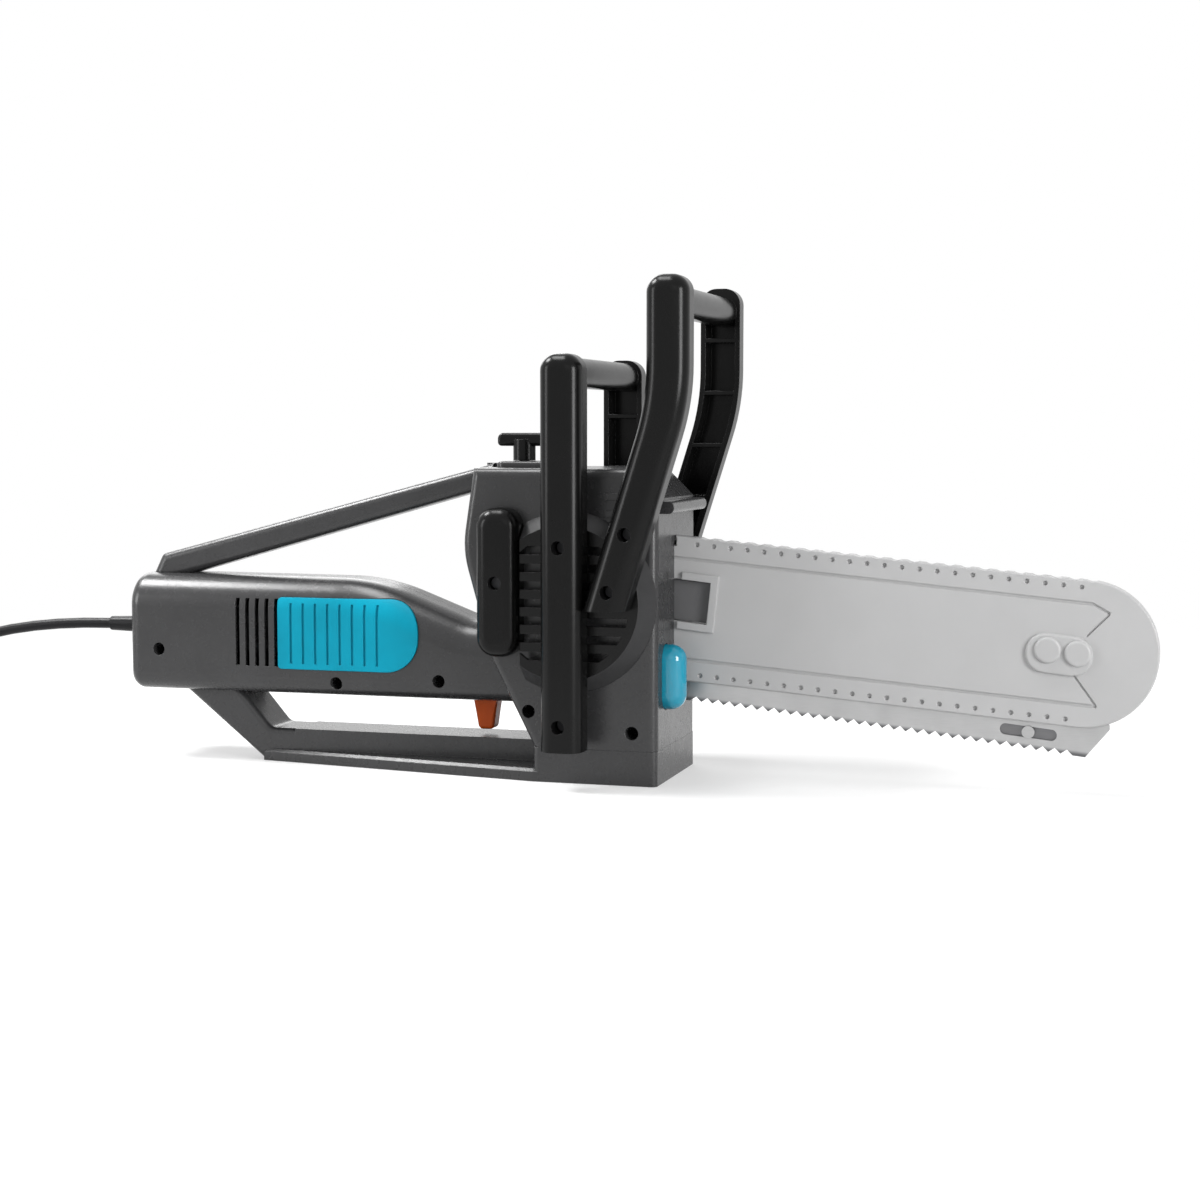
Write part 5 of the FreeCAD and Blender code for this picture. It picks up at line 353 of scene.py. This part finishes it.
# One material for each slot: name, colour and roughness, then a plastic's grain scale and grain depth,
# or how fine a metal's scratches are along X, Y and Z.
SATIN = 0.02 * MM
SMOOTH = 0.006 * MM
GLASSY = 0.003 * MM
LAYERED = 0.04 * MM
HOUSING = (0.030, 0.030, 0.031)
GRIP_BLUE = (0.001, 0.270, 0.390)
BUTTON_BLUE = (0.001, 0.250, 0.370)
ORANGE = (0.440, 0.066, 0.006)
SILVER = (0.395, 0.395, 0.397)
MATERIALS = {
    "housing": moulded("housing_plastic", HOUSING, 0.26, 2600.0, SATIN, marks=parting_line),
    "fan_cover": moulded("fan_cover_plastic", HOUSING, 0.24, 2600.0, SATIN, gloss=0.2, marks=black_face),
    "guard": moulded("guard_plastic", HOUSING, 0.28, 2600.0, SATIN),
    "hoop": moulded("hoop_plastic", BLACK, 0.22, 900.0, GLASSY, gloss=0.15, wear_and_highlight=0.04),
    "grip": moulded("grip_rubber", GRIP_BLUE, 0.42, 3200.0, SATIN, gloss=0.12, wear_and_highlight=0.02),
    "button": moulded("button_plastic", BUTTON_BLUE, 0.10, 900.0, SMOOTH, gloss=0.6, wear_and_highlight=0.02),
    "trigger": moulded("trigger_plastic", ORANGE, 0.32, 1500.0, SATIN, gloss=0.15, wear_and_highlight=0.04),
    "sheath": moulded("sheath_plastic", SILVER, 0.34, 2200.0, SATIN, wear_and_highlight=0.3, mottle=0.02),
    "blade": metal("blade_steel", (0.40, 0.40, 0.402), 0.42, (0.15, 1.0, 4.0), marks=painted_blade_shade),
    "bright": metal("bright_steel", (0.60, 0.60, 0.61), 0.26),
    "screw": metal("black_screw", (0.035, 0.035, 0.037), 0.42),
    "lug": moulded("lug_plastic", (0.100, 0.100, 0.103), 0.42, 2200.0, SATIN),
    # Near-black can, painted dark as the shade seen behind the vents.
    "can": metal("can_painted_as_vent_shade", (0.022, 0.022, 0.023), 0.5, (0.2, 1.0, 1.0)),
    "iron": metal("laminations", (0.14, 0.14, 0.15), 0.5, (8.0, 0.3, 0.3), depth=LAYERED, grain=400.0),
    "copper": wound("copper_wire", (0.60, 0.24, 0.10)),
    "bearing": metal("sintered_bronze", (0.55, 0.37, 0.15), 0.45),
    "carbon": moulded("carbon", (0.020, 0.020, 0.021), 0.55, 1800.0, SATIN),
    "board": moulded("card_laminate", (0.250, 0.130, 0.050), 0.5, 1500.0, SATIN),
    "inner": moulded("inner_nylon", (0.030, 0.030, 0.033), 0.45, 1800.0, SATIN),
    "acetal": moulded("acetal", (0.660, 0.650, 0.600), 0.35, 1500.0, SMOOTH),
    "cord": moulded("cord_rubber", (0.007, 0.007, 0.008), 0.36, 2600.0, SATIN, gloss=0.15, wear_and_highlight=0.04),
    "pins": metal("nickel_pins", (0.66, 0.63, 0.55), 0.22),
}
SLOT_OF = {part["node"]: part["material_slot"] for part in frame["record"]["subparts"]}
# Nodes with a finish of their own within their slot.
SLOT_OF.update(fan_cover_left="fan_cover", fan_cover_right="fan_cover")


def dress(item, slot):
    item.data.materials.clear()
    item.data.materials.append(MATERIALS[slot])


for name, item in NODES.items():
    dress(item, SLOT_OF[name])

# Power cord: straight out of the strain relief, down to the floor, then a tied coil.
# Its radius, bends and coil are in millimetres.
CORD_RADIUS = 2.75
CORD_ROUNDNESS = 6
CORD_STEPS = 8
CORD_BENDS = [
    (-271.5, 0.0, 66.0),
    (-340.0, 0.0, 66.0),
    (-406.0, -14.0, 28.0),
    (-456.0, -42.6, 4.35),
    (-512.0, -42.6, 4.35),
]
COIL_X = -520.0
COIL_OUTER = 42.6
COIL_STEP = 3.1
COIL_HALF_TURNS = 6
COIL_LOW = 4.35
COIL_HIGH = 10.55
COIL_POINTS = 8
COIL_TAIL_BENDS = (8.0, 26.0, 44.0)


def coil_points():
    """Control points of the coil: inward on the floor, up a layer, outward again."""
    swell = 1 / math.cos(math.pi / (2 * COIL_POINTS))
    radii = [COIL_OUTER - COIL_STEP * turn for turn in range(COIL_HALF_TURNS + 1)]
    radii += radii[-2:0:-1]
    points = []
    across = -COIL_OUTER
    side = 1
    for turn, radius in enumerate(radii):
        middle = across + radius * side
        reach = radius * swell * side
        for step in range(COIL_POINTS):
            share = (step + 0.5) / COIL_POINTS
            angle = math.pi * share
            if turn < COIL_HALF_TURNS:
                level = COIL_LOW
            elif turn == COIL_HALF_TURNS:
                level = COIL_LOW + (COIL_HIGH - COIL_LOW) * share
            else:
                level = COIL_HIGH
            points.append((COIL_X - math.sin(angle) * reach, middle - math.cos(angle) * reach, level))
        across += 2 * radius * side
        side = -side
    tail = [(COIL_X - reach, across, COIL_HIGH) for reach in COIL_TAIL_BENDS]
    return points + tail


def make_cord():
    route = [spot(*point) for point in CORD_BENDS + coil_points()]
    data = bpy.data.curves.new("power_cord_flex", "CURVE")
    data.dimensions = "3D"
    data.bevel_depth = CORD_RADIUS * MM
    data.bevel_resolution = CORD_ROUNDNESS
    data.resolution_u = CORD_STEPS
    data.use_fill_caps = True
    spline = data.splines.new("NURBS")
    spline.points.add(len(route) - 1)
    for point, place in zip(spline.points, route):
        point.co = (*place, 1)
    spline.order_u = 3
    spline.use_endpoint_u = True
    cord = bpy.data.objects.new("power_cord_flex", data)
    SCENE.collection.objects.link(cord)
    data.materials.append(MATERIALS["cord"])
    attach(cord, "frame")
    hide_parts("power_cord", "cord_coil")


make_cord()

# Coil springs, wound inside the boxes of the parts they stand in for.
SPRING_TURNS = 5
SPRING_STEPS = 28
WIRE_SIDES = 10


def spring_mesh(name, low, high, wire):
    """Round wire of a given radius, wound along X inside a box."""
    middle = (low + high) / 2
    radius = (high.z - low.z) / 2 - wire
    length = high.x - low.x - 2 * wire
    steps = SPRING_TURNS * SPRING_STEPS
    points = []
    faces = []
    for step in range(steps + 1):
        turn = math.tau * step / SPRING_STEPS
        outward = Vector((0, math.sin(turn), math.cos(turn)))
        centre = Vector((low.x + wire + length * step / steps, middle.y, middle.z)) + outward * radius
        for side in range(WIRE_SIDES):
            angle = math.tau * side / WIRE_SIDES
            points.append(centre + (outward * math.cos(angle) + Vector((math.sin(angle), 0, 0))) * wire)
    for step in range(steps):
        for side in range(WIRE_SIDES):
            after = (side + 1) % WIRE_SIDES
            first = step * WIRE_SIDES
            second = first + WIRE_SIDES
            faces.append((first + side, second + side, second + after, first + after))
    faces.append(tuple(range(WIRE_SIDES)))
    faces.append(tuple(steps * WIRE_SIDES + side for side in reversed(range(WIRE_SIDES))))
    mesh = bpy.data.meshes.new(name)
    mesh.from_pydata(points, [], faces)
    mesh.shade_smooth()
    return mesh


def make_spring(node, wire):
    low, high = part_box(node)
    name = node + "_wire"
    piece = bpy.data.objects.new(name, spring_mesh(name, low, high, wire))
    SCENE.collection.objects.link(piece)
    dress(piece, "bright")
    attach(piece, "frame")
    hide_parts(node)
    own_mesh(piece)


make_spring("trigger_spring", wire=0.35 * MM)
make_spring("button_spring", wire=0.5 * MM)

# Stage: pale floor, white surround, soft lamps. Sizes in metres.
WORLD_LEVEL = 0.32
WHITE = 1.0
FLOOR_HALF = 8.0
FLOOR_DROP = 0.2 * MM
FLOOR_COLOUR = (0.55, 0.55, 0.55, 1)
FLOOR_ROUGH = 0.7
FLOOR_GLOSS = 0.1
FLOOR_GLOW = 0.42
# The paper is plain white from this far out, and starts to turn at half of it.
FLOOR_FADE = 0.9
FADE_START = 0.5
LAMP_AIM = Vector((0.0, 0.0, 0.1))
# Watts for each square metre of a lamp whose brightness is 1.
LAMP_WATTS = 4


def seen_share(tree):
    """1 on rays that show the surround itself: straight, mirrored or through glass."""
    rays = tree.nodes.new("ShaderNodeLightPath")
    share = rays.outputs["Is Camera Ray"]
    for kind in ("Is Glossy Ray", "Is Transmission Ray"):
        either = tree.nodes.new("ShaderNodeMath")
        either.operation = "MAXIMUM"
        tree.links.new(share, either.inputs[0])
        tree.links.new(rays.outputs[kind], either.inputs[1])
        share = either.outputs["Value"]
    return share


def mixed(tree, share, first, second):
    made = tree.nodes.new("ShaderNodeMixShader")
    tree.links.new(share, made.inputs["Fac"])
    tree.links.new(first, made.inputs[1])
    tree.links.new(second, made.inputs[2])
    return made.outputs["Shader"]


def glow(tree, strength):
    made = tree.nodes.new("ShaderNodeEmission")
    made.inputs["Strength"].default_value = strength
    return made.outputs["Emission"]


def floor_material():
    """Pale paper that keeps the shadow near the object and turns plain white away from it."""
    shader = Shader("floor_paper")
    tree = shader.tree
    shader.set(Base_Color=FLOOR_COLOUR, Roughness=FLOOR_ROUGH, Specular_IOR_Level=FLOOR_GLOSS)
    paper = shader.surface.outputs["BSDF"]
    lit = tree.nodes.new("ShaderNodeAddShader")
    tree.links.new(paper, lit.inputs[0])
    tree.links.new(glow(tree, FLOOR_GLOW), lit.inputs[1])
    ball = shader.add("ShaderNodeTexGradient", gradient_type="SPHERICAL")
    shader.link(shader.stretched((1 / FLOOR_FADE,) * 3), ball.inputs["Vector"])
    far = shader.spread(ball.outputs["Fac"], 1.0, 0.0, 0.0, FADE_START)
    shown = mixed(tree, far, lit.outputs["Shader"], glow(tree, WHITE))
    surface = mixed(tree, seen_share(tree), paper, shown)
    tree.links.new(surface, tree.nodes["Material Output"].inputs["Surface"])
    return shader.material


def make_floor():
    data = bpy.data.meshes.new("floor")
    half = FLOOR_HALF
    corners = [(-half, -half, 0), (half, -half, 0), (half, half, 0), (-half, half, 0)]
    data.from_pydata(corners, [], [(0, 1, 2, 3)])
    data.materials.append(floor_material())
    floor = bpy.data.objects.new("floor", data)
    SCENE.collection.objects.link(floor)
    floor.location.z = -FLOOR_DROP


def make_world():
    """White where it is seen or mirrored, dimmer where it lights the object."""
    world = bpy.data.worlds.new("surround")
    SCENE.world = world
    world.use_nodes = True
    tree = world.node_tree
    back = tree.nodes["Background"]
    back.inputs["Color"].default_value = (1, 1, 1, 1)
    strength = tree.nodes.new("ShaderNodeMapRange")
    strength.inputs["To Min"].default_value = WORLD_LEVEL
    strength.inputs["To Max"].default_value = WHITE
    tree.links.new(seen_share(tree), strength.inputs["Value"])
    tree.links.new(strength.outputs["Result"], back.inputs["Strength"])


def make_lamp(name, at, size, brightness):
    """Soft box facing the object; brightness is what a mirror would show of it."""
    data = bpy.data.lights.new(name, "AREA")
    data.shape = "RECTANGLE"
    data.size, data.size_y = size
    data.energy = LAMP_WATTS * size[0] * size[1] * brightness
    lamp = bpy.data.objects.new(name, data)
    SCENE.collection.objects.link(lamp)
    lamp.visible_camera = False
    lamp.location = at
    lamp.rotation_mode = "QUATERNION"
    lamp.rotation_quaternion = (LAMP_AIM - Vector(at)).to_track_quat("-Z", "Y")


make_floor()
make_world()
make_lamp("key_lamp", at=(-0.90, -0.08, 1.15), size=(0.50, 0.36), brightness=26.0)
make_lamp("top_lamp", at=(-0.32, -0.08, 1.28), size=(0.60, 0.30), brightness=10.0)
make_lamp("right_lamp", at=(1.10, -0.65, 0.34), size=(0.42, 0.62), brightness=13.0)
make_lamp("left_lamp", at=(-1.10, -0.75, 0.36), size=(0.35, 0.60), brightness=6.0)
make_lamp("front_lamp", at=(0.5, -1.9, 0.9), size=(1.2, 0.9), brightness=0.4)
make_lamp("back_lamp", at=(-1.1, 1.5, 1.0), size=(1.2, 0.9), brightness=2.5)
